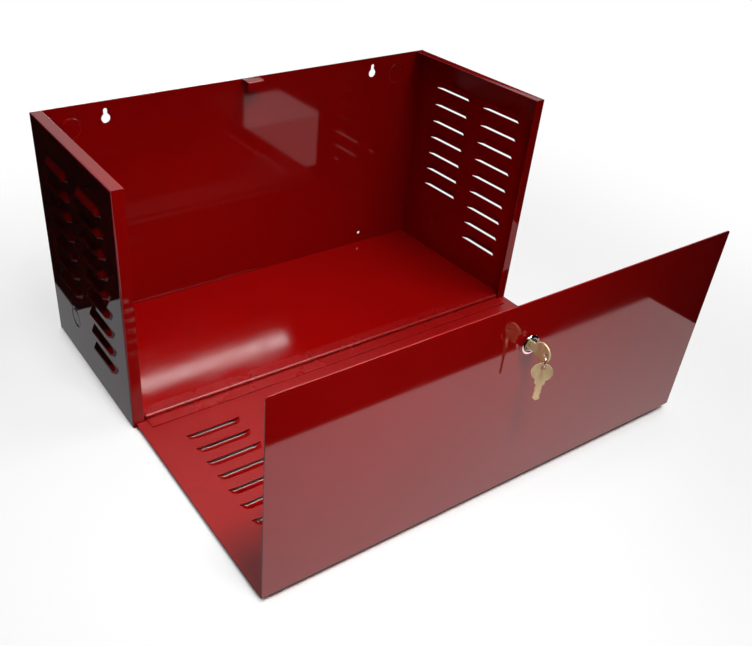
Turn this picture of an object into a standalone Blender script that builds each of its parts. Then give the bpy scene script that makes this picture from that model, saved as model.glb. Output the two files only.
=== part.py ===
"""Louvred sheet-steel alarm cabinet with a hinged L-shaped cover and a cam lock.

The cabinet stands on its base with the cover opened flat in front of it. X runs along the
hinge, Y runs from the cover to the wall face, and Z is up. Everything is first laid out with
Y = 0 on the front of the side flanges and is then moved as one, so that the origin lies under
the middle of the open cabinet.
"""

import math

import bmesh
import bpy
from mathutils import Matrix, Vector

MM = 0.001
QUARTER = math.pi / 2

# Cabinet body
BODY_WIDTH = 610 * MM
BODY_DEPTH = 254 * MM
BODY_HEIGHT = 310 * MM
SHEET = 1.5 * MM
BEND_INSIDE = 1.5 * MM
FLANGE = 15 * MM
SEAM_GAP = 0.3 * MM

# Louvres: a hood that rises off the sheet, open along its lip
LOUVRE_LENGTH = 72 * MM
LOUVRE_DEPTH = 11 * MM
LOUVRE_RISE = 5 * MM
LOUVRE_END = 9 * MM
LOUVRE_SLIT = 0.9 * MM
LOUVRE_PITCH = 26 * MM
LOUVRE_ROWS = 9
SIDE_REAR_ROWS = 7
SIDE_FRONT_COLUMN = 72 * MM
SIDE_REAR_COLUMN = 173.5 * MM
SIDE_TOP_ROW = 44.5 * MM
COVER_COLUMN_IN = 78 * MM
COVER_FIRST_ROW = 54 * MM

# Knockouts and mounting holes
KNOCKOUT = 28 * MM
KNOCKOUT_GAP = 0.4 * MM
SIDE_KNOCKOUT_HEIGHT = 62 * MM
BACK_KNOCKOUT_IN = 49 * MM
BACK_KNOCKOUT_DOWN = 29 * MM
MOUNT_HOLE_IN = 95 * MM
KEYHOLE_HEAD = 12 * MM
KEYHOLE_NECK = 5.5 * MM
KEYHOLE_LIFT = 13 * MM
KEYHOLE_DOWN = 22.5 * MM
LOWER_HOLE = 5 * MM
LOWER_HOLE_HEIGHT = 22 * MM

# Strike that the cam hooks under
STRIKE_WIDTH = 25 * MM
STRIKE_REACH = 17 * MM
STRIKE_LIP = 12 * MM

# Cover and its continuous hinge
COVER_INSET = 4 * MM
COVER_GAP = 0.5 * MM
COVER_REAR_GAP = 6 * MM
COVER_CORNER = 3 * MM
HINGE_INSET = 18 * MM
HINGE_EDGE_GAP = 0.4 * MM
HINGE_END_GAP = 1.5 * MM
LEAF = 1.2 * MM
LEAF_WIDTH = 20 * MM
KNUCKLE = 12.7 * MM
KNUCKLE_GAP = 0.4 * MM
KNUCKLE_WRAP = math.radians(280)
NOTCH_GAP = 0.5 * MM
PIN_RADIUS = 1.5 * MM
PIN_GAP = 0.3 * MM

# Cam lock, measured from the outer face of the panel that carries it
LOCK_FROM_EDGE = 49 * MM
LOCK_HEAD_RADIUS = 11 * MM
LOCK_HEAD = 6 * MM
LOCK_HEAD_ROUND = 1.6 * MM
LOCK_BARREL_RADIUS = 9.3 * MM
LOCK_BARREL = 15.5 * MM
LOCK_FLATS = 16 * MM
LOCK_HOLE_GAP = 0.3 * MM
PLUG_RADIUS = 6.3 * MM
PLUG_HEAD_RADIUS = 7.4 * MM
PLUG_HEAD = 1.8 * MM
PLUG_SUNK = 0.8 * MM
PLUG_GAP = 0.3 * MM
PLUG_TAIL = 7 * MM
WASHER = 0.8 * MM
WASHER_RIM = 13.2 * MM
NUT = 4 * MM
NUT_FLATS = 25 * MM
NUT_SIDES = 6
CAM = 2.5 * MM
CAM_REACH = 48 * MM
CAM_HUB_RADIUS = 10 * MM
CAM_TIP_RADIUS = 7 * MM
SCREW_RADIUS = 2 * MM
SCREW_HEAD_RADIUS = 4 * MM
SCREW_HEAD = 2.6 * MM
SCREW_GRIP = 4 * MM
CAM_WASHER_RIM = 5.6 * MM

# Keys, measured along the blade from the shoulder that stops the key
KEY = 1.8 * MM
KEY_BLADE = 20 * MM
KEY_BLADE_WIDTH = 7 * MM
KEY_TIP = 2.4 * MM
KEY_CUTS = 5
KEY_CUT = 1.1 * MM
KEY_NECK = 5 * MM
KEY_SHOULDER = 10 * MM
KEY_BOW_RADIUS = 10.5 * MM
KEY_HOLE = 5 * MM
KEY_HOLE_IN = 5 * MM
KEYWAY_GAP = 0.3 * MM
RING_WIRE = 1.2 * MM
RING_RADIUS = 6.3 * MM
RING_SEAT = 1.2 * MM
RING_YAW = math.radians(45)

# Facets
BEND_STEPS = 3
LOUVRE_END_STEPS = 2
LOUVRE_ROWS_ACROSS = 3
KNUCKLE_STEPS = 9
PIN_SIDES = 12
ROUND_SIDES = 24
SMALL_SIDES = 16
RING_WIRE_SIDES = 6
MERGE = 0.00001

# Levels and lines that several pieces share
BEND_OUTSIDE = BEND_INSIDE + SHEET
INNER_HALF = BODY_WIDTH / 2 - SHEET - SEAM_GAP
MOUNT_HOLE_SIDE = BODY_WIDTH / 2 - MOUNT_HOLE_IN
COVER_WIDTH = BODY_WIDTH - 2 * COVER_INSET
COVER_COLUMN = COVER_WIDTH / 2 - COVER_COLUMN_IN
HINGE_LENGTH = BODY_WIDTH - 2 * HINGE_INSET
BACK_INNER = BODY_DEPTH - SHEET
PAN_TOP = LOUVRE_RISE + SHEET
KNUCKLE_RADIUS = PIN_RADIUS + PIN_GAP + LEAF
HINGE_Z = PAN_TOP + SEAM_GAP + KNUCKLE_RADIUS
HINGE_Y = HINGE_Z - PAN_TOP - COVER_GAP
LOCK_PANEL_Y = HINGE_Y - (BODY_HEIGHT + COVER_GAP + SHEET - HINGE_Z)
COVER_TOP = HINGE_Z + BACK_INNER - COVER_REAR_GAP - HINGE_Y
LOCK_POINT = Vector((0, LOCK_PANEL_Y, COVER_TOP - LOCK_FROM_EDGE))
PLUG_FACE = LOCK_HEAD - PLUG_SUNK
PLUG_END = -(SHEET + LOCK_BARREL + PLUG_GAP)
CAM_FACE = PLUG_END - PLUG_GAP
TAIL_END = CAM_FACE - CAM
KEY_STOP = PLUG_FACE + PLUG_GAP
KEYWAY_END = KEY_STOP - KEY_BLADE - PLUG_GAP
BOW_CENTRE = KEY_NECK + KEY_BOW_RADIUS * math.cos(math.asin(KEY_SHOULDER / 2 / KEY_BOW_RADIUS))
KEY_REACH = BOW_CENTRE + KEY_BOW_RADIUS
KEY_EYE = KEY_REACH - KEY_HOLE_IN
EYE_POINT = LOCK_POINT + Vector((0, -(KEY_STOP + KEY_EYE), 0))
RING_CENTRE = EYE_POINT - Vector((0, 0, RING_SEAT + RING_RADIUS))
SPARE_EYE = RING_CENTRE - Vector((0, 0, RING_RADIUS + RING_SEAT))
FRONT_Y = LOCK_PANEL_Y - KEY_STOP - KEY_REACH
SHIFT = Vector((0, -(FRONT_Y + BODY_DEPTH) / 2, 0))

RED = (0.27, 0.006, 0.008)
CHROME = (0.72, 0.72, 0.73)
ZINC = (0.52, 0.53, 0.54)
BRASS = (0.55, 0.42, 0.17)


def clear_scene():
    for item in list(bpy.data.objects):
        bpy.data.objects.remove(item, do_unlink=True)


def new_collection(name):
    group = bpy.data.collections.new(name)
    bpy.context.scene.collection.children.link(group)
    return group


def finish(name, colour, metallic, roughness):
    material = bpy.data.materials.new(name)
    material.use_nodes = True
    shader = material.node_tree.nodes["Principled BSDF"]
    shader.inputs["Base Color"].default_value = (*colour, 1)
    shader.inputs["Metallic"].default_value = metallic
    shader.inputs["Roughness"].default_value = roughness
    return material


def red_enamel(name):
    return finish(name + "_red_enamel", RED, 0.0, 0.18)


def chrome_plate(name):
    return finish(name + "_chrome", CHROME, 1.0, 0.12)


def zinc_plate(name):
    return finish(name + "_zinc", ZINC, 1.0, 0.4)


def brass_plate(name):
    return finish(name + "_brass", BRASS, 1.0, 0.28)


def pivot(name, place, parent=None):
    """An empty on a joint's axis, which carries the pieces that move about it."""
    empty = bpy.data.objects.new(name, None)
    empty.empty_display_size = FLANGE
    parts.objects.link(empty)
    empty.location = place
    if parent:
        empty.parent = parent
        empty.matrix_parent_inverse = Matrix.Translation(-Vector(parent["place"]))
    empty["place"] = place
    return empty


def add_object(name, mesh, material, carrier):
    item = bpy.data.objects.new(name, mesh)
    parts.objects.link(item)
    item.data.materials.clear()
    item.data.materials.append(material)
    item.parent = carrier
    item.matrix_parent_inverse = Matrix.Translation(-Vector(carrier["place"]))
    return item


def add_cutter(name, bm, matrix):
    mesh = bpy.data.meshes.new(name)
    bm.to_mesh(mesh)
    bm.free()
    item = bpy.data.objects.new(name, mesh)
    cutters.objects.link(item)
    item.matrix_basis = matrix
    item.parent = root
    item.hide_render = True
    item.display_type = "WIRE"
    return item


def combine(item, cutter, operation="DIFFERENCE"):
    change = item.modifiers.new(cutter.name, "BOOLEAN")
    change.operation = operation
    change.object = cutter
    change.solver = "EXACT"


def add_loop(bm, points):
    """A closed loop of edges through the points."""
    corners = [bm.verts.new(point) for point in points]
    return [bm.edges.new((a, b)) for a, b in zip(corners, corners[1:] + corners[:1])]


def add_circle(bm, matrix, radius, sides):
    ring = bmesh.ops.create_circle(bm, segments=sides, radius=radius, matrix=matrix)
    corners = set(ring["verts"])
    return [edge for edge in bm.edges if set(edge.verts) <= corners]


def plane(origin, along, across):
    """A matrix that lays flat (along, across) coordinates on a face of the cabinet."""
    normal = along.cross(across)
    matrix = Matrix((along, across, normal)).transposed().to_4x4()
    matrix.translation = origin
    return matrix


def arc(centre, radius, start, end, steps):
    """Points along an arc, both ends included."""
    turns = [start + (end - start) * step / steps for step in range(steps + 1)]
    return [(centre[0] + radius * math.cos(t), centre[1] + radius * math.sin(t)) for t in turns]


def hood_station(step, steps):
    """How far along a louvre a step lies, and the share of the rise it has there."""
    from_end = min(step, steps - step)
    turn = QUARTER * from_end / LOUVRE_END_STEPS
    offset = LOUVRE_LENGTH / 2 - LOUVRE_END * (1 - math.cos(turn))
    side = -1 if step < steps - step else 1
    return side * offset, math.sin(turn)


def add_louvre(bm, matrix, outward, along, lip):
    """Raise one hood over its slit and return the edges that join it to the flat sheet."""
    columns = 2 * LOUVRE_END_STEPS + 1
    rows = LOUVRE_ROWS_ACROSS
    grid = bmesh.ops.create_grid(bm, x_segments=columns, y_segments=rows, size=1)
    ends = {}
    fixed = set()
    for corner in grid["verts"]:
        column = round((corner.co.x + 1) / 2 * columns)
        row = round((corner.co.y + 1) / 2 * rows)
        offset, rise = hood_station(column, columns)
        rise *= LOUVRE_RISE * math.cos(QUARTER * row / rows)
        corner.co = matrix @ Vector((along + offset, lip + LOUVRE_DEPTH * row / rows, 0))
        corner.co += outward * rise
        if column in (0, columns) or row == rows:
            fixed.add(corner)
        if row == 0 and column in (0, columns):
            ends[column] = corner
    joined = []
    for edge in {edge for corner in fixed for edge in corner.link_edges}:
        if set(edge.verts) <= fixed and len(edge.link_faces) == 1:
            joined.append(edge)
    slit = {}
    for column in (0, columns):
        offset = hood_station(column, columns)[0]
        slit[column] = bm.verts.new(matrix @ Vector((along + offset, lip - LOUVRE_SLIT, 0)))
        joined.append(bm.edges.new((ends[column], slit[column])))
    joined.append(bm.edges.new((slit[0], slit[columns])))
    return joined


def edges_between(bm, first, second):
    """Open edges that lie along the straight line from one point to the other."""
    line = second - first
    found = []
    for edge in bm.edges:
        if len(edge.link_faces) == 1:
            offsets = [line.cross(corner.co - first).length / line.length for corner in edge.verts]
            if max(offsets) < MERGE:
                found.append(edge)
    return found


def bend(bm, edges, centre, axis, angle):
    """Turn the edges round a bend line and return the edges at the end of the bend."""
    corners = {corner for edge in edges for corner in edge.verts}
    turned = bmesh.ops.spin(bm, geom=list(corners) + edges, cent=centre, axis=axis,
                            angle=angle, steps=BEND_STEPS)
    return [item for item in turned["geom_last"] if isinstance(item, bmesh.types.BMEdge)]


def draw_out(bm, edges, step):
    """Extend the sheet from its edges and return the new outer edges."""
    grown = bmesh.ops.extrude_edge_only(bm, edges=edges)["geom"]
    corners = [item for item in grown if isinstance(item, bmesh.types.BMVert)]
    bmesh.ops.translate(bm, verts=corners, vec=step)
    return [item for item in grown if isinstance(item, bmesh.types.BMEdge)]


def sheet_object(bm, name, outward, thickness, carrier):
    """Give an open skin its thickness, which grows inwards from the skin."""
    bmesh.ops.remove_doubles(bm, verts=bm.verts, dist=MERGE)
    bmesh.ops.recalc_face_normals(bm, faces=bm.faces)
    facing = max(bm.faces, key=lambda face: face.calc_area() * abs(face.normal.dot(outward)))
    if facing.normal.dot(outward) < 0:
        bmesh.ops.reverse_faces(bm, faces=bm.faces)
    mesh = bpy.data.meshes.new(name)
    bm.to_mesh(mesh)
    bm.free()
    item = add_object(name, mesh, red_enamel(name), carrier)
    wall = item.modifiers.new("sheet", "SOLIDIFY")
    wall.thickness = thickness
    wall.offset = -1
    wall.use_even_offset = True
    wall.use_quality_normals = True
    return item


def flat_plate(name, loops, thickness):
    """A mesh of a flat outline with holes, centred on its own thickness."""
    outline = bpy.data.curves.new(name, "CURVE")
    outline.dimensions = "2D"
    outline.fill_mode = "BOTH"
    outline.extrude = thickness / 2
    for points in loops:
        spline = outline.splines.new("POLY")
        spline.points.add(len(points) - 1)
        for spot, point in zip(spline.points, points):
            spot.co = (point[0], point[1], 0, 1)
        spline.use_cyclic_u = True
    holder = bpy.data.objects.new(name, outline)
    cutters.objects.link(holder)
    graph = bpy.context.evaluated_depsgraph_get()
    mesh = bpy.data.meshes.new_from_object(holder.evaluated_get(graph))
    bpy.data.objects.remove(holder, do_unlink=True)
    bm = bmesh.new()
    bm.from_mesh(mesh)
    bmesh.ops.remove_doubles(bm, verts=bm.verts, dist=MERGE)
    bmesh.ops.recalc_face_normals(bm, faces=bm.faces)
    bm.to_mesh(mesh)
    bm.free()
    mesh.name = name
    return mesh


def turned_object(name, profile, closed, sides, material, carrier):
    """Turn a (radius, height) profile about the lock's axis."""
    mesh = bpy.data.meshes.new(name)
    corners = [(radius, 0, height) for radius, height in profile]
    edges = [(step, step + 1) for step in range(len(corners) - 1)]
    if closed:
        edges.append((len(corners) - 1, 0))
    mesh.from_pydata(corners, edges, [])
    item = add_object(name, mesh, material, carrier)
    turn = item.modifiers.new("turn", "SCREW")
    turn.axis = "Z"
    turn.steps = sides
    turn.render_steps = sides
    turn.use_merge_vertices = True
    turn.merge_threshold = MERGE
    turn.use_smooth_shade = False
    item.matrix_basis = lock_frame
    return item


def box_cutter(name, low, high):
    """A cutter box between two corners given in the lock's own frame."""
    bm = bmesh.new()
    bmesh.ops.create_cube(bm, size=1)
    low = Vector(low)
    high = Vector(high)
    span = Matrix.Diagonal((high - low).to_4d())
    bmesh.ops.transform(bm, verts=bm.verts, matrix=Matrix.Translation((low + high) / 2) @ span)
    return add_cutter(name, bm, lock_frame)


def make_side(name, hand):
    """Side panel with louvres and return flanges along its front, top and base."""
    outward = Vector((hand, 0, 0))
    skin = hand * BODY_WIDTH / 2
    low = Vector((skin, BEND_OUTSIDE, BEND_OUTSIDE))
    high = Vector((skin, BACK_INNER - SEAM_GAP, BODY_HEIGHT - BEND_OUTSIDE))
    matrix = plane(Vector((skin, 0, 0)), Vector((0, 1, 0)), Vector((0, 0, 1)))
    bm = bmesh.new()
    corners = [low, Vector((skin, high.y, low.z)), high, Vector((skin, low.y, high.z))]
    edges = add_loop(bm, corners)
    for column, rows in ((SIDE_FRONT_COLUMN, LOUVRE_ROWS), (SIDE_REAR_COLUMN, SIDE_REAR_ROWS)):
        for row in range(rows):
            lip = BODY_HEIGHT - SIDE_TOP_ROW - LOUVRE_PITCH * row
            edges += add_louvre(bm, matrix, outward, column, lip)
    middle = matrix @ Matrix.Translation((SIDE_REAR_COLUMN, SIDE_KNOCKOUT_HEIGHT, 0))
    edges += add_circle(bm, middle, KNOCKOUT / 2 + KNOCKOUT_GAP, ROUND_SIDES)
    bmesh.ops.triangle_fill(bm, edges=edges, use_beauty=True)
    inset = skin - hand * BEND_OUTSIDE
    reach = Vector((-hand * (FLANGE - BEND_OUTSIDE), 0, 0))
    folds = (
        (corners[0], corners[3], Vector((0, 0, -hand))),
        (corners[3], corners[2], Vector((0, -hand, 0))),
        (corners[0], corners[1], Vector((0, hand, 0))),
    )
    for first, second, axis in folds:
        centre = Vector((inset, first.y, first.z))
        folded = bend(bm, edges_between(bm, first, second), centre, axis, QUARTER)
        draw_out(bm, folded, reach)
    sheet_object(bm, name, outward, SHEET, root)


def keyhole(side):
    """Outline of a keyhole: a round head with a narrow neck above it."""
    head = (side * MOUNT_HOLE_SIDE, BODY_HEIGHT - KEYHOLE_DOWN)
    neck_top = (head[0], head[1] + KEYHOLE_LIFT - KEYHOLE_NECK / 2)
    gap = math.asin(KEYHOLE_NECK / KEYHOLE_HEAD)
    points = arc(head, KEYHOLE_HEAD / 2, QUARTER + gap, 5 * QUARTER - gap, SMALL_SIDES)
    return points + arc(neck_top, KEYHOLE_NECK / 2, 0, math.pi, SMALL_SIDES // 2)


def make_back():
    """Flat back sheet: keyholes, lower screw holes and two knockouts."""
    matrix = plane(Vector((0, BODY_DEPTH, 0)), Vector((1, 0, 0)), Vector((0, 0, 1)))
    half = BODY_WIDTH / 2
    bm = bmesh.new()
    outline = [(-half, 0), (half, 0), (half, BODY_HEIGHT), (-half, BODY_HEIGHT)]
    edges = add_loop(bm, [matrix @ Vector((*point, 0)) for point in outline])
    for side in (-1, 1):
        edges += add_loop(bm, [matrix @ Vector((*point, 0)) for point in keyhole(side)])
        lower = Matrix.Translation((side * MOUNT_HOLE_SIDE, LOWER_HOLE_HEIGHT, 0))
        edges += add_circle(bm, matrix @ lower, LOWER_HOLE / 2, SMALL_SIDES)
        middle = Matrix.Translation((side * (half - BACK_KNOCKOUT_IN),
                                     BODY_HEIGHT - BACK_KNOCKOUT_DOWN, 0))
        edges += add_circle(bm, matrix @ middle, KNOCKOUT / 2 + KNOCKOUT_GAP, ROUND_SIDES)
    bmesh.ops.triangle_fill(bm, edges=edges, use_beauty=True)
    sheet_object(bm, "back_panel", Vector((0, 1, 0)), SHEET, root)


def make_knockout(name, middle, outward):
    """Slug of a knockout, which fills its hole until it is punched out."""
    bm = bmesh.new()
    bmesh.ops.create_cone(bm, cap_ends=True, segments=ROUND_SIDES, radius1=KNOCKOUT / 2,
                          radius2=KNOCKOUT / 2, depth=SHEET)
    across = Vector((0, 0, 1))
    along = across.cross(outward)
    matrix = plane(middle - outward * SHEET / 2, along, across)
    bmesh.ops.transform(bm, verts=bm.verts, matrix=matrix)
    mesh = bpy.data.meshes.new(name)
    bm.to_mesh(mesh)
    bm.free()
    add_object(name, mesh, red_enamel(name), root)


def make_knockouts():
    for side, word in ((-1, "left"), (1, "right")):
        on_side = Vector((side * BODY_WIDTH / 2, SIDE_REAR_COLUMN, SIDE_KNOCKOUT_HEIGHT))
        make_knockout("knockout_side_" + word, on_side, Vector((side, 0, 0)))
        on_back = Vector((side * (BODY_WIDTH / 2 - BACK_KNOCKOUT_IN), BODY_DEPTH,
                          BODY_HEIGHT - BACK_KNOCKOUT_DOWN))
        make_knockout("knockout_back_" + word, on_back, Vector((0, 1, 0)))


def make_floor_pan():
    """Floor whose side and rear edges roll down against the walls they are welded to."""
    front = HINGE_Y + HINGE_EDGE_GAP / 2
    half = INNER_HALF - BEND_OUTSIDE
    rear = BACK_INNER - SEAM_GAP - BEND_OUTSIDE
    outline = [(-half, front), (half, front), (half, rear), (-half, rear)]
    corners = [Vector((*point, PAN_TOP)) for point in outline]
    bm = bmesh.new()
    bmesh.ops.triangle_fill(bm, edges=add_loop(bm, corners), use_beauty=True)
    folds = (
        (corners[1], corners[2], Vector((0, 1, 0))),
        (corners[3], corners[0], Vector((0, -1, 0))),
        (corners[2], corners[3], Vector((-1, 0, 0))),
    )
    for first, second, axis in folds:
        centre = Vector((first.x, first.y, PAN_TOP - BEND_OUTSIDE))
        bend(bm, edges_between(bm, first, second), centre, axis, QUARTER)
    sheet_object(bm, "floor_pan", Vector((0, 0, 1)), SHEET, root)


def make_strike():
    """Inverted channel welded to the back, whose front lip catches the cam."""
    back = BACK_INNER - SEAM_GAP
    front = BACK_INNER - STRIKE_REACH
    low = BODY_HEIGHT - STRIKE_LIP
    shoulder = BODY_HEIGHT - BEND_OUTSIDE
    half = STRIKE_WIDTH / 2
    bm = bmesh.new()
    ends = [bm.verts.new((side * half, back, low)) for side in (-1, 1)]
    edges = [bm.edges.new(ends)]
    edges = draw_out(bm, edges, Vector((0, 0, shoulder - low)))
    centre = Vector((0, back - BEND_OUTSIDE, shoulder))
    edges = bend(bm, edges, centre, Vector((1, 0, 0)), QUARTER)
    edges = draw_out(bm, edges, Vector((0, front - back + 2 * BEND_OUTSIDE, 0)))
    centre = Vector((0, front + BEND_OUTSIDE, shoulder))
    edges = bend(bm, edges, centre, Vector((1, 0, 0)), QUARTER)
    draw_out(bm, edges, Vector((0, 0, low - shoulder)))
    sheet_object(bm, "strike", Vector((0, 0, 1)), SHEET, root)


def make_cover():
    """L-shaped cover: louvred front, one bend, and the panel that holds the lock."""
    half = COVER_WIDTH / 2
    neck = HINGE_LENGTH / 2 + HINGE_END_GAP
    edge = HINGE_EDGE_GAP / 2
    notch = HINGE_Y + COVER_GAP + SEAM_GAP
    bend_line = HINGE_Y - LOCK_PANEL_Y - BEND_OUTSIDE
    matrix = plane(Vector((0, HINGE_Y, LOUVRE_RISE)), Vector((1, 0, 0)), Vector((0, -1, 0)))
    outward = Vector((0, 0, -1))
    outline = [(-neck, edge), (neck, edge), (neck, notch), (half, notch),
               (half, bend_line), (-half, bend_line), (-half, notch), (-neck, notch)]
    bm = bmesh.new()
    corners = [matrix @ Vector((*point, 0)) for point in outline]
    edges = add_loop(bm, corners)
    for side in (-1, 1):
        for row in range(LOUVRE_ROWS):
            lip = COVER_FIRST_ROW + LOUVRE_PITCH * row
            edges += add_louvre(bm, matrix, outward, side * COVER_COLUMN, lip)
    bmesh.ops.triangle_fill(bm, edges=edges, use_beauty=True)
    centre = corners[4] + Vector((0, 0, BEND_OUTSIDE))
    folded = bend(bm, edges_between(bm, corners[4], corners[5]), centre, Vector((-1, 0, 0)), QUARTER)
    raised = draw_out(bm, folded, Vector((0, 0, COVER_TOP - LOUVRE_RISE - BEND_OUTSIDE)))
    top = [corner for side in raised for corner in side.verts if abs(corner.co.x) > half - MERGE]
    bmesh.ops.bevel(bm, geom=top, offset=COVER_CORNER, offset_type="OFFSET", segments=BEND_STEPS,
                    profile=0.5, affect="VERTICES")
    cover = sheet_object(bm, "cover", Vector((0, -1, 0)), SHEET, cover_axis)
    combine(cover, lock_hole_cutter())


def lock_hole_cutter():
    """Round hole with two flats, which keeps the lock from turning in the cover."""
    radius = LOCK_BARREL_RADIUS + LOCK_HOLE_GAP
    flat = math.asin((LOCK_FLATS / 2 + LOCK_HOLE_GAP) / radius)
    right = arc((0, 0), radius, -flat, flat, SMALL_SIDES // 2)
    left = arc((0, 0), radius, math.pi - flat, math.pi + flat, SMALL_SIDES // 2)
    mesh = flat_plate("lock_hole", [right + left], SHEET * 4)
    bm = bmesh.new()
    bm.from_mesh(mesh)
    return add_cutter("lock_hole", bm, lock_frame)


def make_leaf(name, hand, first_knuckle, carrier):
    """Hinge leaf: a flat strip whose front edge is rolled into every second knuckle."""
    count = 2 * round(HINGE_LENGTH / KNUCKLE / 2) + 1
    pitch = HINGE_LENGTH / count
    under = HINGE_Z - KNUCKLE_RADIUS
    clear = KNUCKLE_RADIUS + NOTCH_GAP
    bm = bmesh.new()
    corners = []
    for knuckle in range(count):
        start = pitch * knuckle - HINGE_LENGTH / 2
        for x in (start + KNUCKLE_GAP / 2, start + pitch - KNUCKLE_GAP / 2):
            corners.append(bm.verts.new((x, HINGE_Y + hand * clear, under)))
    edges = [bm.edges.new(pair) for pair in zip(corners, corners[1:])]
    rolled = edges[2 * first_knuckle::4]
    draw_out(bm, edges, Vector((0, hand * (LEAF_WIDTH - clear), 0)))
    rolled = draw_out(bm, rolled, Vector((0, -hand * clear, 0)))
    rim = {corner for edge in rolled for corner in edge.verts}
    bmesh.ops.spin(bm, geom=list(rim) + rolled, cent=(0, HINGE_Y, HINGE_Z), axis=(-hand, 0, 0),
                   angle=KNUCKLE_WRAP, steps=KNUCKLE_STEPS)
    sheet_object(bm, name, Vector((0, 0, -1)), LEAF, carrier)


def make_hinge():
    make_leaf("hinge_leaf_body", 1, 0, root)
    make_leaf("hinge_leaf_cover", -1, 1, cover_axis)
    bm = bmesh.new()
    bmesh.ops.create_cone(bm, cap_ends=True, segments=PIN_SIDES, radius1=PIN_RADIUS,
                          radius2=PIN_RADIUS, depth=HINGE_LENGTH)
    lie = Matrix.Translation((0, HINGE_Y, HINGE_Z)) @ Matrix.Rotation(QUARTER, 4, "Y")
    bmesh.ops.transform(bm, verts=bm.verts, matrix=lie)
    mesh = bpy.data.meshes.new("hinge_pin")
    bm.to_mesh(mesh)
    bm.free()
    add_object("hinge_pin", mesh, zinc_plate("hinge_pin"), root)


def make_lock_housing():
    """Chromed head and flatted barrel, bored for the plug."""
    rear = -(SHEET + LOCK_BARREL)
    seat = PLUG_FACE - PLUG_HEAD - PLUG_GAP
    bore = PLUG_RADIUS + PLUG_GAP
    mouth = PLUG_HEAD_RADIUS + PLUG_GAP
    rim = (LOCK_HEAD_RADIUS - LOCK_HEAD_ROUND, LOCK_HEAD - LOCK_HEAD_ROUND)
    profile = [(bore, rear), (bore, seat), (mouth, seat), (mouth, LOCK_HEAD)]
    profile += arc(rim, LOCK_HEAD_ROUND, QUARTER, 0, BEND_STEPS)
    profile += [(LOCK_HEAD_RADIUS, SEAM_GAP), (LOCK_BARREL_RADIUS, SEAM_GAP)]
    profile += [(LOCK_BARREL_RADIUS, rear)]
    housing = turned_object("lock_housing", profile, True, ROUND_SIDES,
                            chrome_plate("lock_housing"), cover_axis)
    far = 2 * LOCK_BARREL_RADIUS
    for side in (-1, 1):
        faces = sorted((side * LOCK_FLATS / 2, side * far))
        combine(housing, box_cutter("lock_flat_" + ("low" if side < 0 else "high"),
                                    (-far, faces[0], rear - SHEET),
                                    (far, faces[1], SEAM_GAP)))


def ring_profile(bore, rim, top, bottom):
    return [(bore, bottom), (bore, top), (rim, top), (rim, bottom)]


def make_lock_fixings():
    """Washer and hexagon nut that clamp the lock to the cover from inside."""
    bore = LOCK_BARREL_RADIUS + LOCK_HOLE_GAP
    top = -(SHEET + SEAM_GAP)
    bottom = top - WASHER
    turned_object("lock_washer", ring_profile(bore, WASHER_RIM, top, bottom), True, ROUND_SIDES,
                  zinc_plate("lock_washer"), cover_axis)
    corner = NUT_FLATS / 2 / math.cos(math.pi / NUT_SIDES)
    outline = arc((0, 0), corner, 0, 2 * math.pi, NUT_SIDES)[:-1]
    hole = arc((0, 0), bore, 0, 2 * math.pi, ROUND_SIDES)[:-1]
    nut = add_object("lock_nut", flat_plate("lock_nut", [outline, hole], NUT),
                     zinc_plate("lock_nut"), cover_axis)
    nut.matrix_basis = lock_frame @ Matrix.Translation((0, 0, bottom - SEAM_GAP - NUT / 2))


def make_lock_plug():
    """Turning plug with its keyway, square tail and tapped hole."""
    profile = [(0, PLUG_FACE), (PLUG_HEAD_RADIUS, PLUG_FACE),
               (PLUG_HEAD_RADIUS, PLUG_FACE - PLUG_HEAD), (PLUG_RADIUS, PLUG_FACE - PLUG_HEAD),
               (PLUG_RADIUS, PLUG_END), (0, PLUG_END)]
    plug = turned_object("lock_plug", profile, False, ROUND_SIDES, chrome_plate("lock_plug"),
                         lock_axis)
    tail = PLUG_TAIL / 2
    sunk = PLUG_END + SHEET
    combine(plug, box_cutter("plug_tail", (-tail, -tail, TAIL_END), (tail, tail, sunk)), "UNION")
    across = KEY / 2 + KEYWAY_GAP
    tall = KEY_BLADE_WIDTH / 2 + KEYWAY_GAP
    combine(plug, box_cutter("keyway", (-across, -tall, KEYWAY_END),
                             (across, tall, LOCK_HEAD)))
    bm = bmesh.new()
    bmesh.ops.create_cone(bm, cap_ends=True, segments=SMALL_SIDES,
                          radius1=SCREW_RADIUS + PLUG_GAP, radius2=SCREW_RADIUS + PLUG_GAP,
                          depth=2 * (SCREW_GRIP + PLUG_GAP))
    combine(plug, add_cutter("screw_hole", bm,
                             lock_frame @ Matrix.Translation((0, 0, TAIL_END))))


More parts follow.
